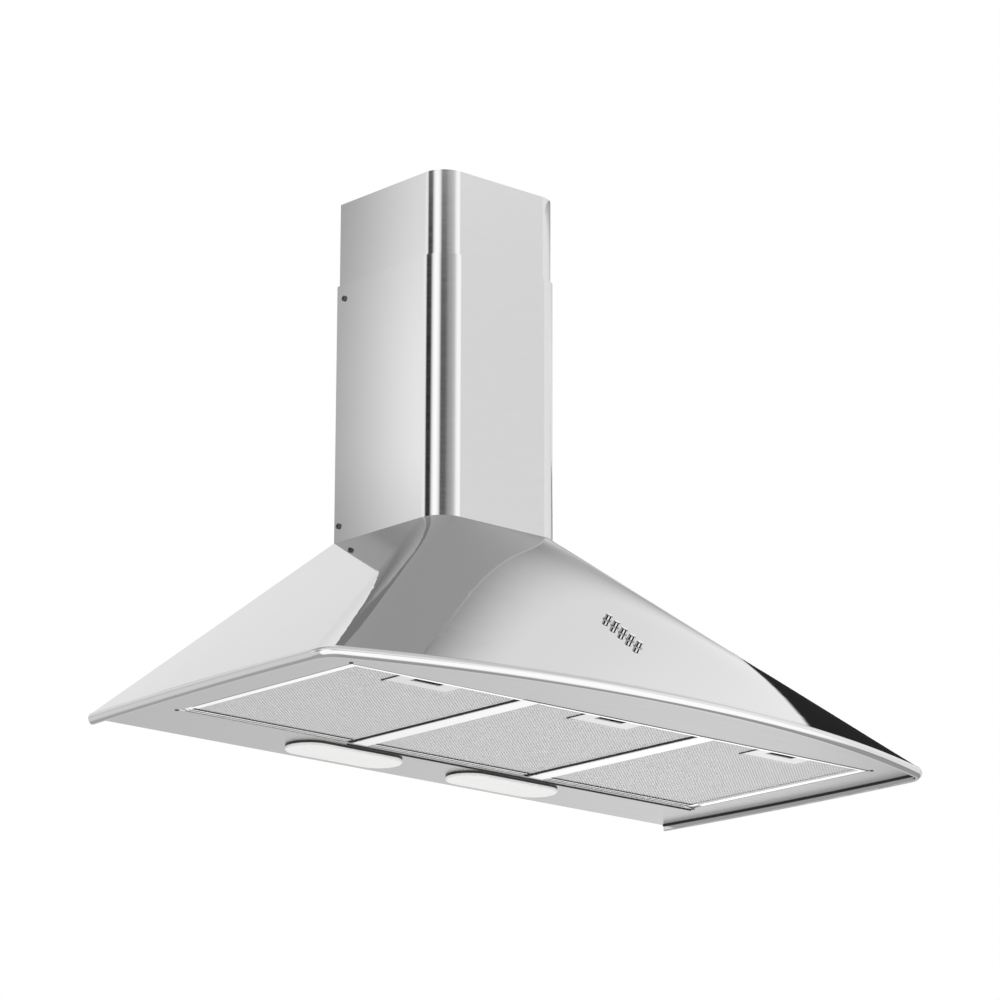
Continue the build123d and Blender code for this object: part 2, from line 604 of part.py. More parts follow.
# ------------------------------------------------------------ grease filters
for number in range(1, FILTER_COUNT + 1):
    middle = (number - (FILTER_COUNT + 1) / 2) * filter_pitch

    # channel frame with two hooking tabs at the rear and a notch for the latch tongue
    with BuildPart() as filter_frame:
        with BuildSketch(Plane.XY.offset(filter_bottom)):
            with Locations((middle, field_middle)):
                Rectangle(filter_width, filter_length)
                Rectangle(
                    filter_width - 2 * FILTER_LIP,
                    filter_length - 2 * FILTER_LIP,
                    mode=Mode.SUBTRACT,
                )
        extrude(amount=FILTER_HEIGHT)
        with BuildSketch(Plane.XY.offset(mesh_bottom)):
            with Locations((middle, field_middle)):
                Rectangle(filter_width - 2 * FILTER_SHEET, filter_length - 2 * FILTER_SHEET)
        extrude(amount=mesh_top - mesh_bottom, mode=Mode.SUBTRACT)
        with BuildSketch(Plane.XY.offset(filter_bottom)):
            with Locations((middle, (tab_front + tab_rear) / 2)):
                with GridLocations(TAB_SPREAD, 0, 2, 1):
                    Rectangle(TAB_WIDTH, tab_rear - tab_front)
        extrude(amount=FILTER_SHEET)
        with BuildSketch(Plane.XY.offset(slider_bottom - SEAT_GAP)):
            with Locations((middle, filter_front)):
                Rectangle(tongue_notch, 2 * FILTER_LIP)
        extrude(amount=SLIDER_SHEET + 2 * SEAT_GAP, mode=Mode.SUBTRACT)
    filter_frame.part.label = f"filter_frame_{number}"
    export_step(filter_frame.part, f"parts/filter_frame_{number}.step")

    # mesh pack with a pocket for the latch
    with BuildPart() as filter_mesh:
        with BuildSketch(Plane.XY.offset(mesh_bottom)):
            with Locations((middle, field_middle)):
                Rectangle(
                    filter_width - 2 * (FILTER_SHEET + FIT_GAP),
                    filter_length - 2 * (FILTER_SHEET + FIT_GAP),
                )
            with Locations((middle, latch_front)):
                Rectangle(
                    LATCH_WIDTH + 2 * FIT_GAP, 2 * (LATCH_REACH + FIT_GAP), mode=Mode.SUBTRACT
                )
        extrude(amount=mesh_top - mesh_bottom - FIT_GAP)
    filter_mesh.part.label = f"filter_mesh_{number}"
    export_step(filter_mesh.part, f"parts/filter_mesh_{number}.step")

    # latch tray with the finger slot in its floor
    with BuildPart() as latch_plate:
        with BuildSketch(Plane.XY.offset(mesh_bottom)):
            with Locations((middle, (latch_front + latch_rear) / 2)):
                Rectangle(LATCH_WIDTH, LATCH_REACH)
        extrude(amount=latch_wall_top - mesh_bottom)
        with BuildSketch(Plane.XY.offset(mesh_bottom + LATCH_SHEET)):
            with Locations((middle, (latch_front + latch_rear) / 2)):
                Rectangle(LATCH_WIDTH - 2 * LATCH_SHEET, LATCH_REACH - 2 * LATCH_SHEET)
        extrude(amount=latch_wall_top - mesh_bottom, mode=Mode.SUBTRACT)
        with BuildSketch(Plane.XY.offset(mesh_bottom)):
            with Locations((middle, -(SLOT_FRONT + SLOT_REAR) / 2)):
                Rectangle(SLOT_WIDTH, SLOT_FRONT - SLOT_REAR)
        extrude(amount=LATCH_SHEET, mode=Mode.SUBTRACT)
        with BuildSketch(Plane.XY.offset(slider_bottom - SEAT_GAP)):
            with Locations((middle, latch_front)):
                Rectangle(tongue_notch, 2 * LATCH_SHEET)
        extrude(amount=SLIDER_SHEET + 2 * SEAT_GAP, mode=Mode.SUBTRACT)
    latch_plate.part.label = f"latch_plate_{number}"
    export_step(latch_plate.part, f"parts/latch_plate_{number}.step")

    # latch slider: plate, tongue, finger opening, finger lip and upturned rear edge
    with BuildPart() as latch_slider:
        with BuildSketch(Plane.XY.offset(slider_bottom)):
            with Locations((middle, (slider_front - SLIDER_REAR) / 2)):
                Rectangle(SLIDER_WIDTH, -SLIDER_REAR - slider_front)
            with Locations((middle, (tongue_tip + slider_front) / 2)):
                Rectangle(TONGUE_WIDTH, slider_front - tongue_tip)
            with Locations((middle, (lip_front - SLOT_FRONT) / 2)):
                Rectangle(SLOT_WIDTH, lip_front + SLOT_FRONT, mode=Mode.SUBTRACT)
        extrude(amount=SLIDER_SHEET)
        with BuildSketch(Plane.XY.offset(slider_bottom - FINGER_LIP)):
            with Locations((middle, (lip_front + lip_rear) / 2)):
                Rectangle(SLOT_WIDTH - 2 * LIP_SIDE_GAP, SLIDER_SHEET)
        extrude(amount=FINGER_LIP)
        with BuildSketch(Plane.XY.offset(slider_top)):
            with Locations((middle, -SLIDER_REAR - SLIDER_SHEET / 2)):
                Rectangle(SLIDER_WIDTH, SLIDER_SHEET)
        extrude(amount=SPRING_HEIGHT - SLIDER_SHEET)
    latch_slider.part.label = f"latch_slider_{number}"
    export_step(latch_slider.part, f"parts/latch_slider_{number}.step")

    # bowed leaf spring on the slider's rear edge, in its pressed form
    with BuildPart() as latch_spring:
        with BuildSketch(Plane.XY.offset(slider_bottom)):
            with BuildLine():
                ThreePointArc(
                    (middle - spring_half, spring_tips),
                    (middle, -SLIDER_REAR),
                    (middle + spring_half, spring_tips),
                )
                Line(
                    (middle + spring_half, spring_tips),
                    (middle + spring_half - 2 * SPRING_SHEET, spring_tips),
                )
                ThreePointArc(
                    (middle + spring_half - 2 * SPRING_SHEET, spring_tips),
                    (middle, -SLIDER_REAR + SPRING_SHEET),
                    (middle - spring_half + 2 * SPRING_SHEET, spring_tips),
                )
                Line(
                    (middle - spring_half + 2 * SPRING_SHEET, spring_tips),
                    (middle - spring_half, spring_tips),
                )
            make_face()
        extrude(amount=SPRING_HEIGHT)
    latch_spring.part.label = f"latch_spring_{number}"
    export_step(latch_spring.part, f"parts/latch_spring_{number}.step")

# --------------------------------------------------------------------- lamps
for number, side in ((1, -1), (2, 1)):
    lamp_x = side * LAMP_SPREAD / 2

    with BuildPart() as lamp_bezel:
        with BuildSketch(Plane.XY.offset(underside - BEZEL_DROP)):
            with Locations((lamp_x, -LAMP_FROM_WALL)):
                SlotOverall(LAMP_LENGTH, LAMP_WIDTH)
                SlotOverall(
                    LAMP_LENGTH - 2 * BEZEL_WALL,
                    LAMP_WIDTH - 2 * BEZEL_WALL,
                    mode=Mode.SUBTRACT,
                )
        extrude(amount=BEZEL_DROP)
    lamp_bezel.part.label = f"lamp_bezel_{number}"
    export_step(lamp_bezel.part, f"parts/lamp_bezel_{number}.step")

    # lens: thin rounded face below the bezel and a plug inside it
    with BuildPart() as lamp_lens:
        with BuildSketch(Plane.XY.offset(underside - lens_drop_full)):
            with Locations((lamp_x, -LAMP_FROM_WALL)):
                SlotOverall(LAMP_LENGTH - 2 * LENS_INSET, LAMP_WIDTH - 2 * LENS_INSET)
        extrude(amount=LENS_DROP)
        fillet(lamp_lens.faces().sort_by(Axis.Z)[0].edges(), LENS_ROUNDING)
        with BuildSketch(Plane.XY.offset(underside - BEZEL_DROP)):
            with Locations((lamp_x, -LAMP_FROM_WALL)):
                SlotOverall(LAMP_LENGTH - lens_plug, LAMP_WIDTH - lens_plug)
        extrude(amount=BEZEL_DROP)
        # hollow it from above, leaving the face and a rim
        with BuildSketch(Plane.XY.offset(underside - BEZEL_DROP)):
            with Locations((lamp_x, -LAMP_FROM_WALL)):
                SlotOverall(
                    LAMP_LENGTH - lens_plug - 2 * BEZEL_WALL,
                    LAMP_WIDTH - lens_plug - 2 * BEZEL_WALL,
                )
        extrude(amount=BEZEL_DROP, mode=Mode.SUBTRACT)
    lamp_lens.part.label = f"lamp_lens_{number}"
    export_step(lamp_lens.part, f"parts/lamp_lens_{number}.step")

    # housing: oblong tub over the cut-out, with a flange on the panel
    housing_inset = 2 * (LAMP_CUTOUT_INSET - LAMP_BOX_SHEET)
    with BuildPart() as lamp_housing:
        with BuildSketch(Plane.XY.offset(panel_top)):
            with Locations((lamp_x, -LAMP_FROM_WALL)):
                SlotOverall(LAMP_LENGTH - housing_inset, LAMP_WIDTH - housing_inset)
        extrude(amount=LAMP_BOX_HEIGHT)
        with BuildSketch(Plane.XY.offset(panel_top)):
            with Locations((lamp_x, -LAMP_FROM_WALL)):
                SlotOverall(
                    LAMP_LENGTH - housing_inset + 2 * LAMP_BOX_FLANGE,
                    LAMP_WIDTH - housing_inset + 2 * LAMP_BOX_FLANGE,
                )
        extrude(amount=LAMP_BOX_SHEET)
        with BuildSketch(Plane.XY.offset(panel_top)):
            with Locations((lamp_x, -LAMP_FROM_WALL)):
                SlotOverall(
                    LAMP_LENGTH - 2 * LAMP_CUTOUT_INSET, LAMP_WIDTH - 2 * LAMP_CUTOUT_INSET
                )
        extrude(amount=LAMP_BOX_HEIGHT - LAMP_BOX_SHEET, mode=Mode.SUBTRACT)
    lamp_housing.part.label = f"lamp_housing_{number}"
    export_step(lamp_housing.part, f"parts/lamp_housing_{number}.step")

    # socket: drum across the lamp, hung from the housing by a post
    with BuildPart() as lamp_socket:
        with BuildSketch(Plane.YZ.offset(lamp_x + side * socket_start)):
            with Locations((-LAMP_FROM_WALL, lamp_axis)):
                Circle(SOCKET_RADIUS)
        extrude(amount=side * SOCKET_LENGTH)
        with BuildSketch(Plane.XY.offset(lamp_axis)):
            with Locations((lamp_x + side * (socket_end - SOCKET_LENGTH / 2), -LAMP_FROM_WALL)):
                Rectangle(SOCKET_POST, SOCKET_POST)
        extrude(amount=lamp_box_top - LAMP_BOX_SHEET - lamp_axis)
        with BuildSketch(Plane.YZ.offset(lamp_x + side * socket_start)):
            with Locations((-LAMP_FROM_WALL, lamp_axis)):
                Circle(BULB_NECK + FIT_GAP)
        extrude(amount=side * SOCKET_DEPTH, mode=Mode.SUBTRACT)
    lamp_socket.part.label = f"lamp_socket_{number}"
    export_step(lamp_socket.part, f"parts/lamp_socket_{number}.step")

    bulb_start = (lamp_x + side * (socket_start + SOCKET_DEPTH), -LAMP_FROM_WALL, lamp_axis)
    with BuildPart() as lamp_bulb:
        with BuildSketch(Plane(origin=bulb_start, x_dir=(-side, 0, 0), z_dir=(0, side, 0))):
            with BuildLine():
                Polyline(
                    (BULB_LENGTH, 0),
                    (0, 0),
                    (0, BULB_NECK),
                    (NECK_LENGTH, BULB_NECK),
                    (GLOBE_START, BULB_RADIUS),
                    (BULB_LENGTH - BULB_RADIUS, BULB_RADIUS),
                )
                CenterArc((BULB_LENGTH - BULB_RADIUS, 0), BULB_RADIUS, 0, 90)
            make_face()
        revolve(axis=Axis(bulb_start, (-side, 0, 0)))
    lamp_bulb.part.label = f"lamp_bulb_{number}"
    export_step(lamp_bulb.part, f"parts/lamp_bulb_{number}.step")

# ------------------------------------------------------------------- buttons
with BuildPart() as switch_housing:
    with BuildSketch(row_plane.offset(switch_front)):
        Rectangle(SWITCH_BOX_WIDTH, row_length + 2 * SWITCH_BOX_MARGIN)
    extrude(amount=-SWITCH_BOX_DEPTH)
    with BuildSketch(row_plane.offset(switch_inside)):
        Rectangle(
            SWITCH_BOX_WIDTH - 2 * SWITCH_BOX_WALL,
            row_length + 2 * (SWITCH_BOX_MARGIN - SWITCH_BOX_WALL),
        )
    extrude(amount=switch_floor - switch_inside, mode=Mode.SUBTRACT)
    with BuildSketch(row_plane.offset(switch_front)):
        with GridLocations(0, BUTTON_PITCH, 1, BUTTON_COUNT):
            Circle(button_hole)
    extrude(amount=-SWITCH_BOX_WALL, mode=Mode.SUBTRACT)
    with BuildSketch(row_plane.offset(switch_floor)):
        Rectangle(CONTACT_RAIL, row_length + CONTACT_RAIL)
    extrude(amount=rail_top - switch_floor)
switch_housing.part.label = "switch_housing"
export_step(switch_housing.part, "parts/switch_housing.step")

with BuildPart() as button_bezels:
    with BuildSketch(row_plane):
        with GridLocations(0, BUTTON_PITCH, 1, BUTTON_COUNT):
            Circle(button_hole + BUTTON_BEZEL_WALL)
            Circle(button_hole, mode=Mode.SUBTRACT)
    extrude(amount=BUTTON_BEZEL_STAND)
button_bezels.part.label = "button_bezels"
export_step(button_bezels.part, "parts/button_bezels.step")

# button 1 is the lowest
for number in range(1, BUTTON_COUNT + 1):
    along_row = (number - (BUTTON_COUNT + 1) / 2) * BUTTON_PITCH
    with BuildPart() as button:
        with BuildSketch(row_plane.offset(button_flange_bottom)):
            with Locations((0, along_row)):
                Circle(BUTTON_RADIUS)
        extrude(amount=BUTTON_STAND - button_flange_bottom)
        fillet(
            button.faces().sort_by(Axis(row_plane.origin, row_plane.z_dir))[-1].edges(),
            BUTTON_EDGE,
        )
        with BuildSketch(row_plane.offset(button_flange_bottom)):
            with Locations((0, along_row)):
                Circle(BUTTON_RADIUS + BUTTON_FLANGE)
        extrude(amount=BUTTON_FLANGE_SHEET)
        with BuildSketch(row_plane.offset(button_flange_bottom)):
            with Locations((0, along_row)):
                Circle(PLUNGER_RADIUS)
        extrude(amount=-PLUNGER_LENGTH)
    button.part.label = f"button_{number}"
    export_step(button.part, f"parts/button_{number}.step")

# ------------------------------------------------------------------- chimney
with BuildPart() as lower_chimney_cover:
    with BuildSketch(Plane.XY.offset(shelf_top)):
        with BuildLine():
            chimney_outline(0)
        make_face()
        with BuildLine():
            chimney_outline(CHIMNEY_SHEET, -CHIMNEY_SHEET)
        make_face(mode=Mode.SUBTRACT)
        Rectangle(
            CHIMNEY_WIDTH - 2 * CHIMNEY_FLANGE, 2 * CHIMNEY_FLANGE, mode=Mode.SUBTRACT
        )
    extrude(amount=LOWER_COVER_LENGTH)
    with BuildSketch(Plane.YZ):
        with Locations(
            (-COVER_SCREW_LOW_WALL, shelf_top + COVER_SCREW_LOW),
            (-COVER_SCREW_HIGH_WALL, seam - COVER_SCREW_HIGH),
        ):
            Circle(SCREW_HOLE)
    extrude(amount=half_chimney, both=True, mode=Mode.SUBTRACT)
lower_chimney_cover.part.label = "lower_chimney_cover"
export_step(lower_chimney_cover.part, "parts/lower_chimney_cover.step")

with BuildPart() as upper_chimney_cover:
    with BuildSketch(Plane.XY.offset(upper_top - UPPER_COVER_LENGTH)):
        with BuildLine():
            chimney_outline(COVER_STEP, upper_back)
        make_face()
        with BuildLine():
            chimney_outline(COVER_STEP + CHIMNEY_SHEET, upper_back - CHIMNEY_SHEET)
        make_face(mode=Mode.SUBTRACT)
        Rectangle(
            2 * (upper_outside - CHIMNEY_FLANGE), 2 * CHIMNEY_FLANGE, mode=Mode.SUBTRACT
        )
    extrude(amount=UPPER_COVER_LENGTH)
    with BuildSketch(Plane.XZ):
        with Locations((0, strip_middle)):
            with GridLocations(STRIP_SCREWS, 0, 2, 1):
                Circle(SCREW_HOLE)
    extrude(amount=CHIMNEY_FLANGE, mode=Mode.SUBTRACT)
upper_chimney_cover.part.label = "upper_chimney_cover"
export_step(upper_chimney_cover.part, "parts/upper_chimney_cover.step")

# pads inside the lower cover that steady the upper one and take the upper screws
with BuildPart() as chimney_guides:
    for side in (-1, 1):
        with BuildSketch(Plane.YZ.offset(side * lower_inside)):
            with Locations((-COVER_SCREW_HIGH_WALL, seam - COVER_SCREW_HIGH)):
                Rectangle(GUIDE_WIDTH, GUIDE_LENGTH)
                Circle(SCREW_HOLE, mode=Mode.SUBTRACT)
        extrude(amount=-side * guide_thickness)
chimney_guides.part.label = "chimney_guides"
export_step(chimney_guides.part, "parts/chimney_guides.step")

cover_screw_planes = [
    Plane(origin=(side * half_chimney, -from_wall, height), x_dir=(0, 1, 0), z_dir=(side, 0, 0))
    for side in (-1, 1)
    for from_wall, height in (
        (COVER_SCREW_LOW_WALL, shelf_top + COVER_SCREW_LOW),
        (COVER_SCREW_HIGH_WALL, seam - COVER_SCREW_HIGH),
    )
]
with BuildPart() as cover_screws:
    with BuildSketch(*cover_screw_planes):
        Circle(SCREW_RADIUS)
    extrude(amount=-cover_shank)
    with BuildSketch(*cover_screw_planes):
        Circle(SCREW_HEAD)
    extrude(amount=SCREW_HEAD_HEIGHT)
    with BuildSketch(*[plane.offset(SCREW_HEAD_HEIGHT) for plane in cover_screw_planes]):
        RegularPolygon(SCREW_SOCKET, 6)
    extrude(amount=-SCREW_SOCKET_DEPTH, mode=Mode.SUBTRACT)
cover_screws.part.label = "cover_screws"
export_step(cover_screws.part, "parts/cover_screws.step")

# strip that holds the upper cover to the wall through two pads
with BuildPart() as upper_wall_bracket:
    with BuildSketch(Plane.XZ.offset(-strip_back)):
        with Locations((0, strip_middle)):
            Rectangle(2 * strip_half, BRACKET_STRIP)
    extrude(amount=STRIP_SHEET)
    with BuildSketch(Plane.XZ):
        with Locations((0, strip_middle)):
            with GridLocations(BRACKET_HOLES, 0, 2, 1):
                Circle(BRACKET_PAD)
    extrude(amount=-strip_back)
    with BuildSketch(Plane.XY.offset(strip_middle - BRACKET_STRIP / 2)):
        with Locations((0, strip_front - STRIP_LEDGE / 2)):
            Rectangle(2 * strip_half, STRIP_LEDGE)
    extrude(amount=STRIP_SHEET)
    with BuildSketch(Plane.XZ):
        with Locations((0, strip_middle)):
            with GridLocations(BRACKET_HOLES, 0, 2, 1):
                Circle(BRACKET_HOLE)
            with GridLocations(STRIP_SCREWS, 0, 2, 1):
                Circle(SCREW_HOLE)
    extrude(amount=-strip_front, mode=Mode.SUBTRACT)
upper_wall_bracket.part.label = "upper_wall_bracket"
export_step(upper_wall_bracket.part, "parts/upper_wall_bracket.step")

with BuildPart() as bracket_screws:
    with BuildSketch(Plane.XZ.offset(-upper_back)):
        with Locations((0, strip_middle)):
            with GridLocations(STRIP_SCREWS, 0, 2, 1):
                Circle(SCREW_RADIUS)
    extrude(amount=upper_back - strip_front)
    with BuildSketch(Plane.XZ.offset(-strip_front)):
        with Locations((0, strip_middle)):
            with GridLocations(STRIP_SCREWS, 0, 2, 1):
                Circle(SCREW_HEAD)
    extrude(amount=SCREW_HEAD_HEIGHT)
    with BuildSketch(Plane.XZ.offset(SCREW_HEAD_HEIGHT - strip_front)):
        with Locations((0, strip_middle)):
            with GridLocations(STRIP_SCREWS, 0, 2, 1):
                RegularPolygon(SCREW_SOCKET, 6)
    extrude(amount=-SCREW_SOCKET_DEPTH, mode=Mode.SUBTRACT)
bracket_screws.part.label = "bracket_screws"
export_step(bracket_screws.part, "parts/bracket_screws.step")

# -------------------------------------------------------------------- blower
with BuildPart() as blower_deck:
    with BuildSketch(Plane.XY.offset(deck_bottom)):
        with BuildLine():
            chimney_outline(DECK_MARGIN, -BACK_SHEET)
        make_face()
        with Locations((0, collar_y)):
            RectangleRounded(
                SCROLL_WIDTH, SCROLL_OUTLET, OUTLET_CORNER, mode=Mode.SUBTRACT
            )
            with GridLocations(deck_screws_wide, deck_screws_deep, 2, 2):
                Circle(SCREW_HOLE, mode=Mode.SUBTRACT)
        with Locations((GLAND_FROM_MIDDLE, -GLAND_FROM_WALL)):
            Circle(GLAND_RADIUS + FIT_GAP, mode=Mode.SUBTRACT)
    extrude(amount=DECK_SHEET)
blower_deck.part.label = "blower_deck"
export_step(blower_deck.part, "parts/blower_deck.step")

with BuildPart() as blower_housing:
    with BuildSketch(side_plane):
        with BuildLine():
            scroll_outline(SCROLL_WALL)
        make_face()
    extrude(amount=scroll_side, both=True)
    with BuildSketch(Plane.XY.offset(deck_bottom - SCROLL_FLANGE_SHEET)):
        with Locations((0, collar_y)):
            Rectangle(
                2 * (scroll_side + SCROLL_FLANGE),
                SCROLL_OUTLET + 2 * (SCROLL_WALL + SCROLL_FLANGE),
            )
            with GridLocations(deck_screws_wide, deck_screws_deep, 2, 2):
                Circle(SCREW_HOLE, mode=Mode.SUBTRACT)
    extrude(amount=SCROLL_FLANGE_SHEET)
    with BuildSketch(side_plane):
        with BuildLine():
            scroll_outline(0)
        make_face()
    extrude(amount=scroll_half, both=True, mode=Mode.SUBTRACT)
    with BuildSketch(side_plane):
        Circle(INLET_RADIUS)
    extrude(amount=scroll_side, both=True, mode=Mode.SUBTRACT)
blower_housing.part.label = "blower_housing"
export_step(blower_housing.part, "parts/blower_housing.step")

with BuildPart() as motor_bracket:
    with BuildSketch(side_plane.offset(-scroll_side - BRACKET_SHEET)):
        Circle(bracket_inside + BRACKET_RING)
        Circle(bracket_inside, mode=Mode.SUBTRACT)
        Circle(BRACKET_HUB)
        with PolarLocations((BRACKET_HUB + bracket_inside) / 2, BRACKET_ARMS, 90):
            Rectangle(bracket_inside - BRACKET_HUB + BRACKET_RING, BRACKET_ARM)
    extrude(amount=BRACKET_SHEET)
motor_bracket.part.label = "motor_bracket"
export_step(motor_bracket.part, "parts/motor_bracket.step")

with BuildPart() as motor:
    with BuildSketch(side_plane.offset(-scroll_side)):
        Circle(MOTOR_RADIUS)
    extrude(amount=scroll_side + motor_end)
    fillet(motor.faces().sort_by(Axis.X)[-1].edges(), MOTOR_EDGE)
    with BuildSketch(side_plane.offset(motor_end)):
        Circle(SHAFT_RADIUS + SHAFT_CLEARANCE)
    extrude(amount=-SHAFT_IN_MOTOR - SEAT_GAP, mode=Mode.SUBTRACT)
motor.part.label = "motor"
export_step(motor.part, "parts/motor.step")

with BuildPart() as motor_shaft:
    with BuildSketch(side_plane.offset(motor_end - SHAFT_IN_MOTOR)):
        Circle(SHAFT_RADIUS)
    extrude(amount=DISC_SHEET / 2 + SHAFT_END + SHAFT_IN_MOTOR - motor_end)
motor_shaft.part.label = "motor_shaft"
export_step(motor_shaft.part, "parts/motor_shaft.step")

# double-inlet wheel with forward-curved blades, centre disc, hub and two end rings
with BuildPart() as impeller:
    with BuildSketch(side_plane):
        for blade in range(BLADE_COUNT):
            root_angle = blade * 360 / BLADE_COUNT
            with BuildLine():
                for edge_angle in (root_angle, root_angle + BLADE_THICKNESS):
                    ThreePointArc(
                        polar(BLADE_ROOT, edge_angle),
                        polar((BLADE_ROOT + IMPELLER_RADIUS) / 2, edge_angle + BLADE_MID_SWEEP),
                        polar(IMPELLER_RADIUS, edge_angle + BLADE_TIP_SWEEP),
                    )
                for radius, sweep_angle in ((BLADE_ROOT, 0), (IMPELLER_RADIUS, BLADE_TIP_SWEEP)):
                    Line(
                        polar(radius, root_angle + sweep_angle),
                        polar(radius, root_angle + sweep_angle + BLADE_THICKNESS),
                    )
            make_face()
    extrude(amount=half_impeller, both=True)
    with BuildSketch(
        side_plane.offset(half_impeller - IMPELLER_RING), side_plane.offset(-half_impeller)
    ):
        Circle(IMPELLER_RADIUS)
        Circle(BLADE_ROOT, mode=Mode.SUBTRACT)
    extrude(amount=IMPELLER_RING)
    with BuildSketch(side_plane):
        Circle(IMPELLER_RADIUS)
    extrude(amount=DISC_SHEET / 2, both=True)
    with BuildSketch(side_plane.offset(hub_start)):
        Circle(HUB_RADIUS)
    extrude(amount=HUB_LENGTH)
    with BuildSketch(side_plane.offset(hub_start)):
        Circle(SHAFT_RADIUS)
    extrude(amount=HUB_LENGTH + DISC_SHEET, mode=Mode.SUBTRACT)
impeller.part.label = "impeller"
export_step(impeller.part, "parts/impeller.step")

# round outlet with its flange, the ledge the flaps close onto and the pin's holes
with BuildPart() as outlet_collar:
    with BuildSketch(Plane.XY.offset(shelf_bottom)):
        with Locations((0, collar_y)):
            RectangleRounded(collar_flange, collar_flange, COLLAR_FLANGE_CORNER)
            with GridLocations(deck_screws_wide, deck_screws_deep, 2, 2):
                Circle(SCREW_HOLE, mode=Mode.SUBTRACT)
    extrude(amount=COLLAR_FLANGE_SHEET)
    with BuildSketch(Plane.XY.offset(shelf_bottom)):
        with Locations((0, collar_y)):
            Circle(COLLAR_RADIUS)
    extrude(amount=COLLAR_HEIGHT)
    with BuildSketch(Plane.XY.offset(shelf_bottom)):
        with Locations((0, collar_y)):
            Circle(collar_inside)
    extrude(amount=COLLAR_HEIGHT, mode=Mode.SUBTRACT)
    with BuildSketch(Plane.XY.offset(flap_bottom - SEAT_GAP - LEDGE_SHEET)):
        with Locations((0, collar_y)):
            Circle(collar_inside)
            Circle(collar_inside - LEDGE_WIDTH, mode=Mode.SUBTRACT)
    extrude(amount=LEDGE_SHEET)
    with BuildSketch(Plane.YZ):
        with Locations((collar_y, flap_axis)):
            Circle(PIN_RADIUS)
    extrude(amount=COLLAR_RADIUS, both=True, mode=Mode.SUBTRACT)
outlet_collar.part.label = "outlet_collar"
export_step(outlet_collar.part, "parts/outlet_collar.step")

with BuildPart() as flap_pin:
    with BuildSketch(Plane.YZ):
        with Locations((collar_y, flap_axis)):
            Circle(PIN_RADIUS)
    extrude(amount=COLLAR_RADIUS - FLAP_GAP, both=True)
flap_pin.part.label = "flap_pin"
export_step(flap_pin.part, "parts/flap_pin.step")

# two half-round back-draught flaps with interleaved knuckles on one pin
for name, side in (("flap_front", -1), ("flap_rear", 1)):
    with BuildPart() as flap:
        with BuildSketch(Plane.XY.offset(flap_bottom)):
            with Locations((0, collar_y)):
                Circle(collar_inside - FLAP_GAP)
            with Locations((0, collar_y + side * (FLAP_ROOT - collar_inside))):
                Rectangle(2 * collar_inside, 2 * collar_inside, mode=Mode.SUBTRACT)
        extrude(amount=FLAP_SHEET)
        for knuckle_x in (-KNUCKLE_SPREAD, KNUCKLE_SPREAD - KNUCKLE_SHIFT):
            with BuildSketch(Plane.YZ.offset(-side * knuckle_x - KNUCKLE_LENGTH / 2)):
                with Locations((collar_y, flap_axis)):
                    Circle(KNUCKLE_RADIUS)
                with Locations((collar_y + side * FLAP_ROOT / 2, flap_axis)):
                    Rectangle(2 * FLAP_ROOT, FLAP_SHEET)
                with Locations((collar_y, flap_axis)):
                    Circle(PIN_RADIUS + PIN_CLEARANCE, mode=Mode.SUBTRACT)
            extrude(amount=KNUCKLE_LENGTH)
    flap.part.label = name
    export_step(flap.part, f"parts/{name}.step")

with BuildPart() as blower_screws:
    with BuildSketch(Plane.XY.offset(collar_top_face)):
        with Locations((0, collar_y)):
            with GridLocations(deck_screws_wide, deck_screws_deep, 2, 2):
                Circle(SCREW_RADIUS)
    extrude(amount=-flange_screw_shank)
    with BuildSketch(Plane.XY.offset(collar_top_face)):
        with Locations((0, collar_y)):
            with GridLocations(deck_screws_wide, deck_screws_deep, 2, 2):
                Circle(SCREW_HEAD)
    extrude(amount=SCREW_HEAD_HEIGHT)
    with BuildSketch(Plane.XY.offset(collar_top_face + SCREW_HEAD_HEIGHT)):
        with Locations((0, collar_y)):
            with GridLocations(deck_screws_wide, deck_screws_deep, 2, 2):
                RegularPolygon(SCREW_SOCKET, 6)
    extrude(amount=-SCREW_SOCKET_DEPTH, mode=Mode.SUBTRACT)
blower_screws.part.label = "blower_screws"
export_step(blower_screws.part, "parts/blower_screws.step")

# ---------------------------------------------------------- electrical parts
with BuildPart() as junction_box:
    with BuildSketch(Plane.XZ.offset(BACK_SHEET)):
        with Locations((JUNCTION_FROM_MIDDLE, underside + JUNCTION_CENTRE_HEIGHT)):
            RectangleRounded(JUNCTION_WIDTH, JUNCTION_HEIGHT, JUNCTION_EDGE)
    extrude(amount=JUNCTION_DEPTH)
    fillet(junction_box.faces().sort_by(Axis.Y)[0].edges(), JUNCTION_EDGE / 2)
    with BuildSketch(Plane.XZ.offset(BACK_SHEET)):
        with Locations((JUNCTION_FROM_MIDDLE, underside + JUNCTION_CENTRE_HEIGHT)):
            Rectangle(JUNCTION_WIDTH - 2 * JUNCTION_WALL, JUNCTION_HEIGHT - 2 * JUNCTION_WALL)
    extrude(amount=JUNCTION_DEPTH - JUNCTION_WALL, mode=Mode.SUBTRACT)
junction_box.part.label = "junction_box"
export_step(junction_box.part, "parts/junction_box.step")

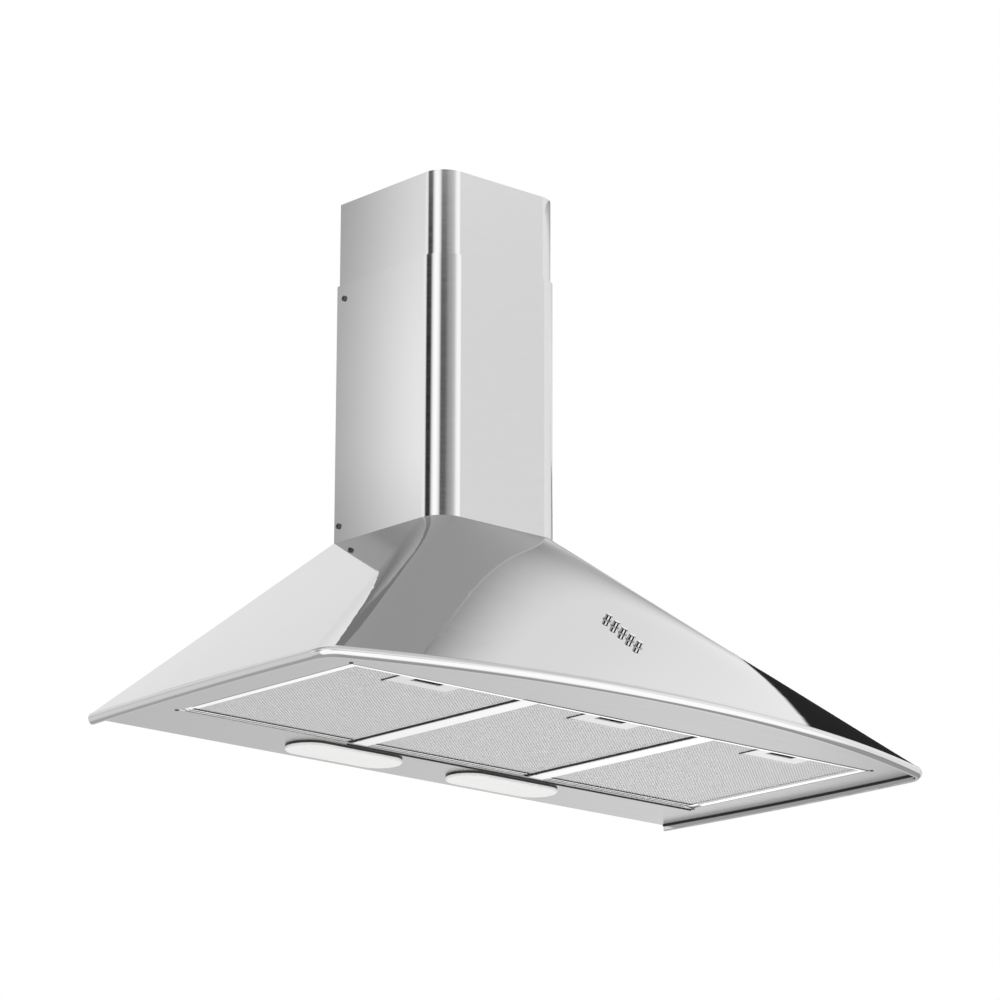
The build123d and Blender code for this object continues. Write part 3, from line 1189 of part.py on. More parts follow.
with BuildPart() as cable_gland:
    with BuildSketch(Plane.XY.offset(deck_bottom - GLAND_NUT_HEIGHT)):
        with Locations((GLAND_FROM_MIDDLE, -GLAND_FROM_WALL)):
            RegularPolygon(GLAND_NUT, 6)
    extrude(amount=GLAND_NUT_HEIGHT)
    with BuildSketch(Plane.XY.offset(shelf_bottom)):
        with Locations((GLAND_FROM_MIDDLE, -GLAND_FROM_WALL)):
            RegularPolygon(GLAND_NUT, 6)
    extrude(amount=GLAND_NUT_HEIGHT)
    with BuildSketch(Plane.XY.offset(deck_bottom - GLAND_NUT_HEIGHT)):
        with Locations((GLAND_FROM_MIDDLE, -GLAND_FROM_WALL)):
            Circle(GLAND_RADIUS)
    extrude(amount=GLAND_NUT_HEIGHT + DECK_SHEET + GLAND_HEIGHT)
    with BuildSketch(Plane.XY.offset(deck_bottom - GLAND_NUT_HEIGHT)):
        with Locations((GLAND_FROM_MIDDLE, -GLAND_FROM_WALL)):
            Circle(GLAND_BORE)
    extrude(amount=GLAND_NUT_HEIGHT + DECK_SHEET + GLAND_HEIGHT, mode=Mode.SUBTRACT)
cable_gland.part.label = "cable_gland"
export_step(cable_gland.part, "parts/cable_gland.step")
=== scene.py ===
"""Looks of a chimney range hood: studio light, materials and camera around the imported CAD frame."""

import math

import bpy
from mathutils import Matrix, Vector


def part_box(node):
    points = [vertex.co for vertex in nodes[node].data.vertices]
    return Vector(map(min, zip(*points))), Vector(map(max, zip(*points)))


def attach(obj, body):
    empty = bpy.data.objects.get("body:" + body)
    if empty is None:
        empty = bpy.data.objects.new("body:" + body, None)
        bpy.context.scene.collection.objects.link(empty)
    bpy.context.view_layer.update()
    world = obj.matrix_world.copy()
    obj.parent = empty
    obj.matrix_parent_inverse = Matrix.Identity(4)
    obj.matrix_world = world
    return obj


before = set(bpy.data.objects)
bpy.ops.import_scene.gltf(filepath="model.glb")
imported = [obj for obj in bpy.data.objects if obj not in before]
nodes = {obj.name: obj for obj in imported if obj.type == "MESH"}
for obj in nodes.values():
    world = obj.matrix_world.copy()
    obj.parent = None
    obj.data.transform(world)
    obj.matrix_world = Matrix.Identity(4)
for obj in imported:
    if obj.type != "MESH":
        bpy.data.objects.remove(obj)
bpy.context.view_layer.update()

# Camera: it stands low in front of the hood's left side and looks up, as the photograph does
CAMERA_PLACE = (-3.15227, -3.71069, -1.17704)    # metres, in the CAD frame
CAMERA_YAW = 0.728960       # radians from +Y towards +X
CAMERA_PITCH = 0.275571     # radians above level
CAMERA_ROLL = 0.002845
SENSOR_WIDTH = 36.0         # millimetres
IMAGE_WIDTH = 1000          # pixels
FOCAL_PIXELS = 4315.1

# Studio
FLOOR_HEIGHT = -3.2
FLOOR_SIZE = 60.0
STEEL = 0.55                # share of the light that the polished steel throws back

# Materials
STEEL_EDGE = 0.80           # tint of the steel's reflection at a glancing angle, full at 1
LENS_WHITE = (0.95, 0.95, 0.94)
# faint painted glow that brightens the white lens, not a lit lamp
LENS_PAINTED_GLOW = 0.06
GASKET_WHITE = 0.0017       # height of the lens's white edge on the black gasket
GASKET_BLUR = 0.0002
SKIN_SLOPE = (252.6, 310)   # rise and run of the canopy's front, which the buttons stand square to


def linear(grey):
    """Light of a grey that is seen as this value from 0 to 255."""
    share = grey / 255
    if share <= 0.04045:
        return share / 12.92
    return ((share + 0.055) / 1.055) ** 2.4


class Graph:
    """Short calls for the nodes that the world and the materials are made of."""

    def __init__(self, tree):
        self.tree = tree
        tree.nodes.clear()

    def node(self, kind, **settings):
        made = self.tree.nodes.new("ShaderNode" + kind)
        for name, value in settings.items():
            setattr(made, name, value)
        return made

    def feed(self, socket, value):
        if isinstance(value, bpy.types.NodeSocket):
            self.tree.links.new(value, socket)
        else:
            socket.default_value = value

    def math(self, operation, *values):
        made = self.node("Math", operation=operation)
        for socket, value in zip(made.inputs, values):
            self.feed(socket, value)
        return made.outputs[0]

    def rise(self, value, start, end, low=0.0, high=1.0):
        """Goes smoothly from low at start to high at end."""
        made = self.node("MapRange", interpolation_type="SMOOTHSTEP", clamp=True)
        for socket, item in zip(made.inputs, (value, start, end, low, high)):
            self.feed(socket, item)
        return made.outputs[0]

    def band(self, value, low, high, blur, high_blur=None):
        """One between low and high, zero outside, with soft ends."""
        high_blur = high_blur or blur
        start = self.rise(value, low - blur, low + blur)
        end = self.rise(value, high - high_blur, high + high_blur, 1.0, 0.0)
        return self.math("MULTIPLY", start, end)

    def fade(self, value, start, first, end, last):
        """Light that goes smoothly from one seen grey to another."""
        return self.mix(self.rise(value, start, end), grey(first), grey(last))

    def mix(self, share, first, second):
        made = self.node("Mix", data_type="RGBA")
        self.feed(made.inputs[0], share)
        self.feed(made.inputs[6], first)
        self.feed(made.inputs[7], second)
        return made.outputs[2]


def grey(value):
    light = linear(value) / STEEL
    return (light, light, light, 1.0)


# The studio is screens and fading lights. A direction is in degrees, from straight behind the hood towards
# its right, or over level. A brightness is the grey that the screen shows in the steel, from 0 to 255.
# Screens at the chimney's height, the later ones in front: start, end, softness of each end, grey
BACKDROP = 210
SCREENS = {
    "wall_behind": (-40, 44, 6, 3, 188),
    "right_strip": (46, 53, 3, 3, 250),
    "right_screen": (90, 132, 10, 3, 222),
    "front_right_box": (144, 163, 4, 9, 246),
    "front_right_screen": (171, 200, 9, 8, 172),
    "front_left_screen": (-200, -164, 8, 12, 172),
    "left_drape": (-166, -127, 22, 5, 80),
    "left_box": (-119, -96, 8, 7, 252),
    "left_flag": (-88, -61, 6, 5, 35),
    "left_strip": (-58, -46, 5, 5, 232),
}
# Low screens that the rim mirrors
RIM_SCREEN_TOP = (14, 11)           # the height where they end
RIM_FRONT_SCREENS = ((112, 190), (-190, -80))
RIM_FRONT_GREY = 252
RIM_SIDE_SCREEN = (-80, -20)
RIM_SIDE_GREY = 202
# Lights that fade with height: a height and its grey, a greater height and its grey
ABOVE_FROM = (19, 24)
ABOVE_LEFT = (35, 215, 50, 230)
ABOVE_RIGHT = (30, 227, 60, 196)
ABOVE_SIDE = (28, 195, 50, 156)
ABOVE_FRONT = (25, 235, 54, 195)
BELOW_LEFT = (-40, 158, -6, 195)
BELOW_RIGHT = (-40, 163, -6, 226)
BELOW_FAR = (-25, 150, -14, 140)
BEHIND = (-80, 82)                  # directions that count as behind the hood
BEHIND_SIDE = (-80, -22)
BLUR = 6                            # softness between such parts
BEHIND_SIDE_BLUR = 4
ABOVE_TURN = (43, 51)               # where the left light gives way to the right one
BELOW_TURN = (36, 47)
BELOW_FAR_TURN = (45, 49)
BELOW_BEHIND = (-20, 110)           # directions where the lower light begins
BELOW_BEHIND_FROM = (-6, -12)       # at these heights, elsewhere except in front at the next,
BELOW_SIDE_FROM = (-27, -34)
BELOW_FROM = (-38, -60)             # and everywhere at these
# Ceiling card, right of the hood, along a line from the wall's middle
CARD_AZIMUTH = 58
CARD_LEVEL = 0.55
CARD_NEAR, CARD_FAR = -0.01, 2.3    # along that line
CARD_SIDE, CARD_FRONT = 0.165, 0.60     # in front of it
CARD_NEAR_FRONT = 0.25              # its front side at the near end, where a corner is cut off
CARD_CUT_ALONG = 0.45               # how far along the cut reaches
CARD_CUT_BEND = (0.10, 0.14)        # bend of the cut, back from its end
CARD_FADE = (0.14, 108, 0.30, 218)  # across the card, from its inner side
CARD_FRONT_LIGHT = (0.30, 0.55, 230)
BLACK_FROM = 1.05                   # where the black part starts, along the line
BLACK_LEAN = 1.25                   # how far the start leans away along the card's inner side
BLACK_LEAN_WIDTH = 0.36             # and how far from that side it does so
BLACK_BLUR = 0.02
BLACK_GREY = 34
# Side card, left of the chimney and behind it
SIDE_AZIMUTH = -40
SIDE_DISTANCE = 0.35
SIDE_BOTTOM, SIDE_TOP = 0.15, 0.85
SIDE_LEFT, SIDE_RIGHT = -0.20, -0.05
SIDE_FADE = (-0.20, 234, -0.03, 158)
SIDE_FOOT = (0.20, 0.36, 0.80, 1.0)     # dimmer near its foot: from, to, share of light at each
SIDE_HEAD = (0.42, 0.72, 1.0, 0.86)     # and near its top


def make_studio():
    world = bpy.data.worlds.new("studio")
    bpy.context.scene.world = world
    world.use_nodes = True
    g = Graph(world.node_tree)
    axes = g.node("SeparateXYZ")
    g.feed(axes.inputs[0], g.node("TexCoord").outputs["Generated"])
    right, back, up = axes.outputs
    azimuth = g.math("DEGREES", g.math("ARCTAN2", right, back))
    height = g.math("DEGREES", g.math("ARCSINE", up))

    light = grey(BACKDROP)
    for start, end, soft_start, soft_end, seen in SCREENS.values():
        light = g.mix(g.band(azimuth, start, end, soft_start, soft_end), light, grey(seen))

    low = g.rise(height, *RIM_SCREEN_TOP)
    front = g.math("MAXIMUM", *[g.band(azimuth, *reach, BLUR) for reach in RIM_FRONT_SCREENS])
    light = g.mix(g.math("MULTIPLY", front, low), light, grey(RIM_FRONT_GREY))
    side = g.band(azimuth, *RIM_SIDE_SCREEN, BLUR)
    light = g.mix(g.math("MULTIPLY", side, low), light, grey(RIM_SIDE_GREY))

    above = g.mix(g.rise(azimuth, *ABOVE_TURN), g.fade(height, *ABOVE_LEFT), g.fade(height, *ABOVE_RIGHT))
    above = g.mix(g.band(azimuth, *BEHIND_SIDE, BEHIND_SIDE_BLUR), above, g.fade(height, *ABOVE_SIDE))
    above = g.mix(g.band(azimuth, *BEHIND, BLUR), g.fade(height, *ABOVE_FRONT), above)
    light = g.mix(g.rise(height, *ABOVE_FROM), light, above)

    below = g.mix(g.rise(azimuth, *BELOW_TURN), g.fade(height, *BELOW_LEFT), g.fade(height, *BELOW_RIGHT))
    below = g.mix(g.rise(azimuth, *BELOW_FAR_TURN), below, g.fade(height, *BELOW_FAR))
    behind = g.band(azimuth, *BELOW_BEHIND, BLUR)
    light = g.mix(g.math("MULTIPLY", g.rise(height, *BELOW_BEHIND_FROM), behind), light, below)
    not_front = g.math("SUBTRACT", 1.0, front)
    light = g.mix(g.math("MULTIPLY", g.rise(height, *BELOW_SIDE_FROM), not_front), light, below)
    light = g.mix(g.rise(height, *BELOW_FROM), light, below)

    seen = g.node("LightPath").outputs["Is Camera Ray"]
    light = g.mix(seen, light, (1.0, 1.0, 1.0, 1.0))
    background = g.node("Background")
    g.feed(background.inputs["Color"], light)
    output = g.node("OutputWorld")
    g.feed(output.inputs["Surface"], background.outputs[0])


def make_card(name, centre, turn, corners):
    """A card that only reflections see. Returns its graph, its own x and y, and the call that ends it."""
    mesh = bpy.data.meshes.new(name)
    mesh.from_pydata([(x, y, 0.0) for x, y in corners], [], [range(len(corners))])
    card = bpy.data.objects.new(name, mesh)
    bpy.context.scene.collection.objects.link(card)
    card.matrix_world = Matrix.Translation(centre) @ turn.to_4x4()
    for kind in ("camera", "diffuse", "transmission", "volume_scatter", "shadow"):
        setattr(card, "visible_" + kind, False)
    material = bpy.data.materials.new(name)
    material.use_nodes = True
    mesh.materials.append(material)
    g = Graph(material.node_tree)
    axes = g.node("SeparateXYZ")
    g.feed(axes.inputs[0], g.node("TexCoord").outputs["Object"])

    def glow(light):
        surface = g.node("Emission")
        g.feed(surface.inputs["Color"], light)
        output = g.node("OutputMaterial")
        g.feed(output.inputs["Surface"], surface.outputs[0])

    return g, axes.outputs[0], axes.outputs[1], glow


def make_ceiling_card():
    along = Vector((math.sin(math.radians(CARD_AZIMUTH)), math.cos(math.radians(CARD_AZIMUTH)), 0.0))
    front = Vector((along.y, -along.x, 0.0))
    turn = Matrix((along, front, along.cross(front))).transposed()
    bend_back, bend_in = CARD_CUT_BEND
    corners = [
        (CARD_NEAR, CARD_SIDE), (CARD_FAR, CARD_SIDE), (CARD_FAR, CARD_FRONT), (CARD_CUT_ALONG, CARD_FRONT),
        (CARD_CUT_ALONG - bend_back, CARD_FRONT - bend_in), (CARD_NEAR, CARD_NEAR_FRONT),
    ]
    g, distance, across, glow = make_card("ceiling_card", Vector((0, 0, CARD_LEVEL)), turn, corners)
    front_start, front_end, front_grey = CARD_FRONT_LIGHT
    light = g.mix(g.rise(across, front_start, front_end), g.fade(across, *CARD_FADE), grey(front_grey))
    # the black part starts later towards the card's inner side
    inner = g.math("MAXIMUM", g.math("SUBTRACT", CARD_SIDE + BLACK_LEAN_WIDTH, across), 0.0)
    distance = g.math("SUBTRACT", distance, g.math("MULTIPLY", inner, BLACK_LEAN))
    black = g.rise(distance, BLACK_FROM - BLACK_BLUR, BLACK_FROM + BLACK_BLUR)
    glow(g.mix(black, light, grey(BLACK_GREY)))


def make_side_card():
    away = Vector((math.sin(math.radians(SIDE_AZIMUTH)), math.cos(math.radians(SIDE_AZIMUTH)), 0.0))
    right = Vector((away.y, -away.x, 0.0))
    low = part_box("lower_chimney_cover")[0]
    start = Vector((low.x, 0.0, 0.0))
    centre = away * (start.dot(away) + SIDE_DISTANCE)
    turn = Matrix((right, Vector((0, 0, 1)), right.cross(Vector((0, 0, 1))))).transposed()
    corners = [
        (SIDE_LEFT, SIDE_BOTTOM), (SIDE_RIGHT, SIDE_BOTTOM), (SIDE_RIGHT, SIDE_TOP), (SIDE_LEFT, SIDE_TOP),
    ]
    g, across, height, glow = make_card("side_card", centre, turn, corners)
    light = g.fade(across, *SIDE_FADE)
    strength = g.math("MULTIPLY", g.rise(height, *SIDE_FOOT), g.rise(height, *SIDE_HEAD))
    tinted = g.node("VectorMath", operation="SCALE")
    g.feed(tinted.inputs[0], light)
    g.feed(tinted.inputs["Scale"], strength)
    glow(tinted.outputs[0])


def make_floor():
    bpy.ops.mesh.primitive_plane_add(size=FLOOR_SIZE, location=(0, 0, FLOOR_HEIGHT))
    floor = bpy.context.object
    floor.name = "floor"
    floor.visible_glossy = False
    floor.data.materials.append(plain("floor_pale", (0.7, 0.7, 0.7), 0.9))


def make_camera():
    data = bpy.data.cameras.new("camera")
    data.sensor_width = SENSOR_WIDTH
    data.lens = FOCAL_PIXELS * SENSOR_WIDTH / IMAGE_WIDTH
    data.dof.use_dof = False
    camera = bpy.data.objects.new("camera", data)
    bpy.context.scene.collection.objects.link(camera)
    level = math.cos(CAMERA_PITCH)
    forward = Vector((math.sin(CAMERA_YAW) * level, math.cos(CAMERA_YAW) * level, math.sin(CAMERA_PITCH)))
    side = Vector((math.cos(CAMERA_YAW), -math.sin(CAMERA_YAW), 0.0))
    up = side.cross(forward)
    turn = Matrix.Rotation(-CAMERA_ROLL, 3, forward)
    side, up = turn @ side, turn @ up
    axes = Matrix((side, up, -forward)).transposed().to_4x4()
    camera.matrix_world = Matrix.Translation(CAMERA_PLACE) @ axes
    bpy.context.scene.camera = camera


# Materials

def shader(name):
    material = bpy.data.materials.new(name)
    material.use_nodes = True
    g = Graph(material.node_tree)
    surface = g.node("BsdfPrincipled")
    output = g.node("OutputMaterial")
    g.feed(output.inputs["Surface"], surface.outputs[0])
    return material, g, surface


def plain(name, colour, roughness, metallic=0.0, specular=0.5, glow=0.0):
    material, _, surface = shader(name)
    surface.inputs["Emission Color"].default_value = (*colour, 1.0)
    surface.inputs["Emission Strength"].default_value = glow
    surface.inputs["Base Color"].default_value = (*colour, 1.0)
    surface.inputs["Roughness"].default_value = roughness
    surface.inputs["Metallic"].default_value = metallic
    surface.inputs["Specular IOR Level"].default_value = specular
    return material


GRAIN_DETAIL = 3.0
GRAIN_RANGE = (0.25, 0.75)  # of the noise, between the smooth and the rough places
PAINTED_SHADE_FACING = (0.5, 0.9)     # how squarely a button's surface faces out where the side, painted dark as shade, turns bright
# Grain per metre along each axis: a small number draws it out along that axis
FINE_GRAIN = (300, 300, 300)
ACROSS_GRAIN = (8, 600, 600)
BACKWARD_GRAIN = (600, 8, 600)
LEVEL_GRAIN = (40, 40, 500)
SPANGLE = (60, 60, 60)


def grained(name, grey_level, roughness, grain, colour_swing, rough_swing, edge=STEEL_EDGE):
    """Metal with a fine grain drawn out along the axis where the scale is small."""
    material, g, surface = shader(name)
    place = g.node("TexCoord").outputs["Object"]
    mapping = g.node("Mapping")
    g.feed(mapping.inputs["Vector"], place)
    mapping.inputs["Scale"].default_value = grain
    noise = g.node("TexNoise")
    noise.inputs["Scale"].default_value = 1.0
    noise.inputs["Detail"].default_value = GRAIN_DETAIL
    g.feed(noise.inputs["Vector"], mapping.outputs[0])
    value = noise.outputs[0]
    dark = grey_level * (1 - colour_swing)
    light = grey_level * (1 + colour_swing)
    g.feed(surface.inputs["Base Color"], g.mix(value, (dark, dark, dark, 1.0), (light, light, light, 1.0)))
    smooth, rough = roughness - rough_swing / 2, roughness + rough_swing / 2
    g.feed(surface.inputs["Roughness"], g.rise(value, *GRAIN_RANGE, smooth, rough))
    surface.inputs["Metallic"].default_value = 1.0
    surface.inputs["Specular Tint"].default_value = (edge, edge, edge, 1.0)
    return material


def lens_and_gasket(name, box):
    """Black gasket next to the panel, white lens edge below it."""
    material, g, surface = shader(name)
    axes = g.node("SeparateXYZ")
    g.feed(axes.inputs[0], g.node("TexCoord").outputs["Object"])
    edge = box[0].z + GASKET_WHITE
    share = g.rise(axes.outputs[2], edge - GASKET_BLUR, edge + GASKET_BLUR)
    g.feed(surface.inputs["Base Color"], g.mix(share, (*LENS_WHITE, 1.0), (0.012, 0.012, 0.012, 1.0)))
    # the white part glows faintly: painted light that brightens the lens
    g.feed(surface.inputs["Emission Color"], g.mix(share, (*LENS_WHITE, 1.0), (0.0, 0.0, 0.0, 1.0)))
    surface.inputs["Emission Strength"].default_value = LENS_PAINTED_GLOW
    surface.inputs["Roughness"].default_value = 0.3
    return material


def button_axis():
    lean = math.atan2(*SKIN_SLOPE)
    return Vector((0.0, -math.sin(lean), math.cos(lean)))


def button_chrome(name):
    """Chrome with painted shade: bright cap, sides painted near black."""
    material, g, surface = shader(name)
    facing = g.node("VectorMath", operation="DOT_PRODUCT")
    g.feed(facing.inputs[0], g.node("NewGeometry").outputs["Normal"])
    facing.inputs[1].default_value = button_axis()
    # painted shade: the sides' colour is near black, the cap keeps the steel's colour
    share = g.rise(facing.outputs["Value"], *PAINTED_SHADE_FACING)
    g.feed(surface.inputs["Base Color"], g.mix(share, (0.02, 0.02, 0.02, 1.0), (STEEL, STEEL, STEEL, 1.0)))
    surface.inputs["Metallic"].default_value = 1.0
    surface.inputs["Roughness"].default_value = 0.06
    return material


def dress(material, *names):
    for name in names:
        mesh = nodes[name].data
        mesh.materials.clear()
        mesh.materials.append(material)


def numbered(name, count):
    return [f"{name}_{number}" for number in range(1, count + 1)]


def dress_frame():
    dress(grained("canopy_steel", STEEL, 0.035, FINE_GRAIN, 0.01, 0.01), "canopy_shell")
    chimney = grained("chimney_steel", STEEL, 0.10, LEVEL_GRAIN, 0.01, 0.03)
    dress(chimney, "lower_chimney_cover", "upper_chimney_cover")
    dress(grained("rim_steel", STEEL, 0.10, FINE_GRAIN, 0.01, 0.02), "rim_trim")
    panel = grained("panel_steel", STEEL, 0.22, ACROSS_GRAIN, 0.03, 0.06)
    dress(panel, "underside_panel")
    crossbar = grained("crossbar_steel", 0.86, 0.2, BACKWARD_GRAIN, 0.02, 0.04, edge=1.0)
    dress(crossbar, *numbered("crossbar", 2))
    galvanised = grained("galvanised", 0.62, 0.42, SPANGLE, 0.08, 0.12)
    dress(galvanised, "back_plate", "blower_deck", "motor_bracket", "upper_wall_bracket", "chimney_guides",
          *numbered("lamp_housing", 2))
    dress(plain("blower_black", (0.02, 0.02, 0.022), 0.5), "blower_housing", "outlet_collar", "junction_box")
    dress(plain("grey_plastic", (0.09, 0.092, 0.095), 0.5), "flap_front", "flap_rear", "impeller")
    dress(plain("motor_grey", (0.06, 0.062, 0.066), 0.4, 0.6), "motor")
    dress(grained("machined_steel", 0.62, 0.25, FINE_GRAIN, 0.02, 0.05), "motor_shaft", "flap_pin",
          *numbered("latch_spring", 3))
    aluminium = grained("frame_aluminium", 0.97, 0.16, FINE_GRAIN, 0.01, 0.03, edge=1.0)
    dress(aluminium, *numbered("filter_frame", 3))
    dress(grained("mesh_layers", 0.58, 0.35, FINE_GRAIN, 0.2, 0.1, edge=1.0), *numbered("filter_mesh", 3))
    dress(grained("latch_plate", 0.64, 0.2, FINE_GRAIN, 0.02, 0.05, edge=1.0), *numbered("latch_plate", 3))
    dress(grained("latch_slider", 0.7, 0.25, FINE_GRAIN, 0.02, 0.05), *numbered("latch_slider", 3))
    for lamp in ("lamp_bezel_1", "lamp_bezel_2"):
        dress(lens_and_gasket(lamp + "_finish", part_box(lamp)), lamp)
    # the lens glows faintly: painted light that brightens it, the lamp is not lit
    dress(plain("lens_white", LENS_WHITE, 0.35, glow=LENS_PAINTED_GLOW), "lamp_lens_1", "lamp_lens_2")
    dress(plain("bulb_glass", (0.9, 0.9, 0.87), 0.3), "lamp_bulb_1", "lamp_bulb_2")
    dress(plain("ceramic_white", (0.85, 0.84, 0.8), 0.2), "lamp_socket_1", "lamp_socket_2")
    dress(button_chrome("button_chrome"), *numbered("button", 5))
    dress(grained("bezel_steel", 0.4, 0.1, FINE_GRAIN, 0.01, 0.02), "button_bezels")
    dress(plain("black_plastic", (0.015, 0.015, 0.016), 0.4), "switch_housing", "cable_gland")
    dress(plain("screw_steel", (0.42, 0.42, 0.43), 0.25, 1.0), "blower_screws", "bracket_screws")
    dress(plain("screw_dark", (0.1, 0.1, 0.1), 0.25, 1.0), "cover_screws")


# Pieces that are too fine for the CAD frame

MESH_PITCH = 0.0030         # metres between strands of one direction
STRAND_WIDTH = 0.0010
STRAND_HEIGHT = 0.00025
STRAND_SLOPE = 40           # degrees from the hood's width
FRAME_LIP = 0.0045          # visible width of the filter frame
FRAME_SHEET = 0.0008
FIELD_GAP = 0.0012          # filter frame to the edge of the panel's opening
LINE_WIDTH = 0.0014         # dark lines round the filters, painted shade where their gaps and lip walls lie in shadow
LINE_HEIGHT = 0.0012
SIDE_HEM_WIDTH = 0.009
HEM_WIDTH = 0.005           # bright folded edge of the filters
SIDE_HEM_STEP = 0.018       # where the side hem turns thin, before the rear tabs
REAR_SHADE_OFFSET = 0.0075        # rear line of painted shade, behind the field's edge
REAR_SHADE_REACH = 0.004          # beyond the field's right side
REAR_SHADE_HEIGHT = 0.001         # below the panel
SHADE_LINE_DEPTH = 0.0002         # into the panel
FRONT_SHADE_INSET = 0.0004
FRONT_SHADE_WIDTH = 0.0007
FRONT_SHADE_HEIGHT = 0.0004
CLEAR = 0.0001              # gap that keeps a fine piece off its neighbour
RELIEF_OFFSET = 0.0022      # corner relief holes outside the field's corner
RELIEF_RADIUS = 0.0024
RELIEF_STAND = 0.0004       # how far the black discs of painted shade stand below the panel, and reach into it
RELIEF_DEPTH = 0.0008
RELIEF_SIDES = 16
WALL_LINE = 0.0009          # dark line of painted shade along each crossbar's left wall
WALL_LINE_FOOT = 0.0011
WALL_LINE_HEIGHT = 0.0012
PANEL_SHADE_WIDTH = 0.0013         # black line of painted shade between the panel and the rim's inner wall
PANEL_SHADE_HEIGHT = 0.0016
PANEL_SHADE_INSET = 0.0019         # its middle inside the panel's own edge
BUTTON_RADIUS = 0.004
RIB_COUNT = 7
RIB_WIDTH = 0.0016
RIB_HEIGHT = 0.00008        # how far a rib stands out of the button's side
RIB_TOP = 0.0009            # rib's end below the cap's face
RIB_LENGTH = 0.0046
LINE_REACH = 10.0           # longer than any line across the hood
NO_SLOPE = 1e-9
SAME_LEVEL = 0.00001        # points closer than this count as level
WALL_RUN = 0.1              # a panel edge longer than this is the one along the wall


def add_piece(name, points, faces, material, body):
    mesh = bpy.data.meshes.new(name)
    mesh.from_pydata(points, [], faces)
    mesh.materials.append(material)
    piece = bpy.data.objects.new(name, mesh)
    bpy.context.scene.collection.objects.link(piece)
    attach(piece, body)
    return piece


def bar(start, end, width, bottom, top):
    """Corners of a straight bar between two points in plan."""
    start, end = Vector(start), Vector(end)
    along = (end - start).normalized()
    side = Vector((-along.y, along.x)) * (width / 2)
    plan = (start + side, end + side, end - side, start - side)
    return [(point.x, point.y, height) for height in (bottom, top) for point in plan]


BAR_FACES = [(0, 1, 2, 3), (7, 6, 5, 4), (0, 4, 5, 1), (1, 5, 6, 2), (2, 6, 7, 3), (3, 7, 4, 0)]


def add_bars(name, bars, material, body):
    points, faces = [], []
    for corners in bars:
        faces += [tuple(corner + len(points) for corner in face) for face in BAR_FACES]
        points += corners
    return add_piece(name, points, faces, material, body)


def inside(origin, direction, low, high):
    """Range of the line's parameter inside a box in plan, or None."""
    start, end = -LINE_REACH, LINE_REACH
    for axis in (0, 1):
        if abs(direction[axis]) < NO_SLOPE:
            if not low[axis] < origin[axis] < high[axis]:
                return None
            continue
        first = (low[axis] - origin[axis]) / direction[axis]
        second = (high[axis] - origin[axis]) / direction[axis]
        start, end = max(start, min(first, second)), min(end, max(first, second))
    return (start, end) if end > start else None


def lattice(low, high, hole_low, hole_high, slope, bottom):
    """Parallel strands over a rectangle, except over the latch plate."""
    direction = Vector((math.cos(slope), math.sin(slope)))
    step = Vector((-direction.y, direction.x)) * MESH_PITCH
    middle = Vector(((low[0] + high[0]) / 2, (low[1] + high[1]) / 2))
    count = int((high[0] - low[0] + high[1] - low[1]) / 2 / MESH_PITCH) + 1
    bars = []
    for number in range(-count, count + 1):
        origin = middle + step * number
        reach = inside(origin, direction, low, high)
        if reach is None:
            continue
        spans = [reach]
        gap = inside(origin, direction, hole_low, hole_high)
        if gap:
            spans = [(reach[0], min(gap[0], reach[1])), (max(gap[1], reach[0]), reach[1])]
        for start, end in spans:
            if end - start > STRAND_WIDTH:
                ends = origin + direction * start, origin + direction * end
                bars.append(bar(*ends, STRAND_WIDTH, bottom, bottom + STRAND_HEIGHT))
    return bars


def add_filter_details(number, strand, dark):
    body = f"filter_{number}"
    frame_low, frame_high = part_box(f"filter_frame_{number}")
    mesh_low, mesh_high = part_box(f"filter_mesh_{number}")
    plate_low, plate_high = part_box(f"latch_plate_{number}")
    margin = FRAME_LIP + STRAND_WIDTH / 2
    rear = mesh_high.y + FRAME_SHEET       # the frame's own rear edge, without its tabs
    low = (frame_low.x + margin, frame_low.y + margin)
    high = (frame_high.x - margin, rear - margin)
    clear = STRAND_WIDTH / 2 + CLEAR
    hole_low = (plate_low.x - clear, plate_low.y - clear)
    hole_high = (plate_high.x + clear, plate_high.y + clear)
    slope = math.radians(STRAND_SLOPE)
    top = mesh_low.z
    strands = lattice(low, high, hole_low, hole_high, slope, top - STRAND_HEIGHT)
    strands += lattice(low, high, hole_low, hole_high, -slope, top - 2 * STRAND_HEIGHT)
    add_bars(f"mesh_strands_{number}", strands, strand, body)

    # Dark lines along the frame's rear lip, beside the latch plate and on the last filter's right side:
    # painted shade where these edges lie in shadow
    half = LINE_WIDTH / 2
    bottom = top - LINE_HEIGHT
    inner_rear = rear - FRAME_LIP - half
    inner_right = frame_high.x - FRAME_LIP - half
    inner_left, inner_front = frame_low.x + FRAME_LIP, frame_low.y + FRAME_LIP
    beside_plate = plate_low.x - half
    routes = [
        ((inner_left, inner_rear), (inner_right + half, inner_rear)),
        ((beside_plate, inner_front), (beside_plate, plate_high.y)),
    ]
    if number == 3:
        routes.append(((inner_right, inner_front), (inner_right, inner_rear)))
    lines = [bar(start, end, LINE_WIDTH, bottom, top) for start, end in routes]
    add_bars(f"filter_shade_lines_{number}", lines, dark, body)


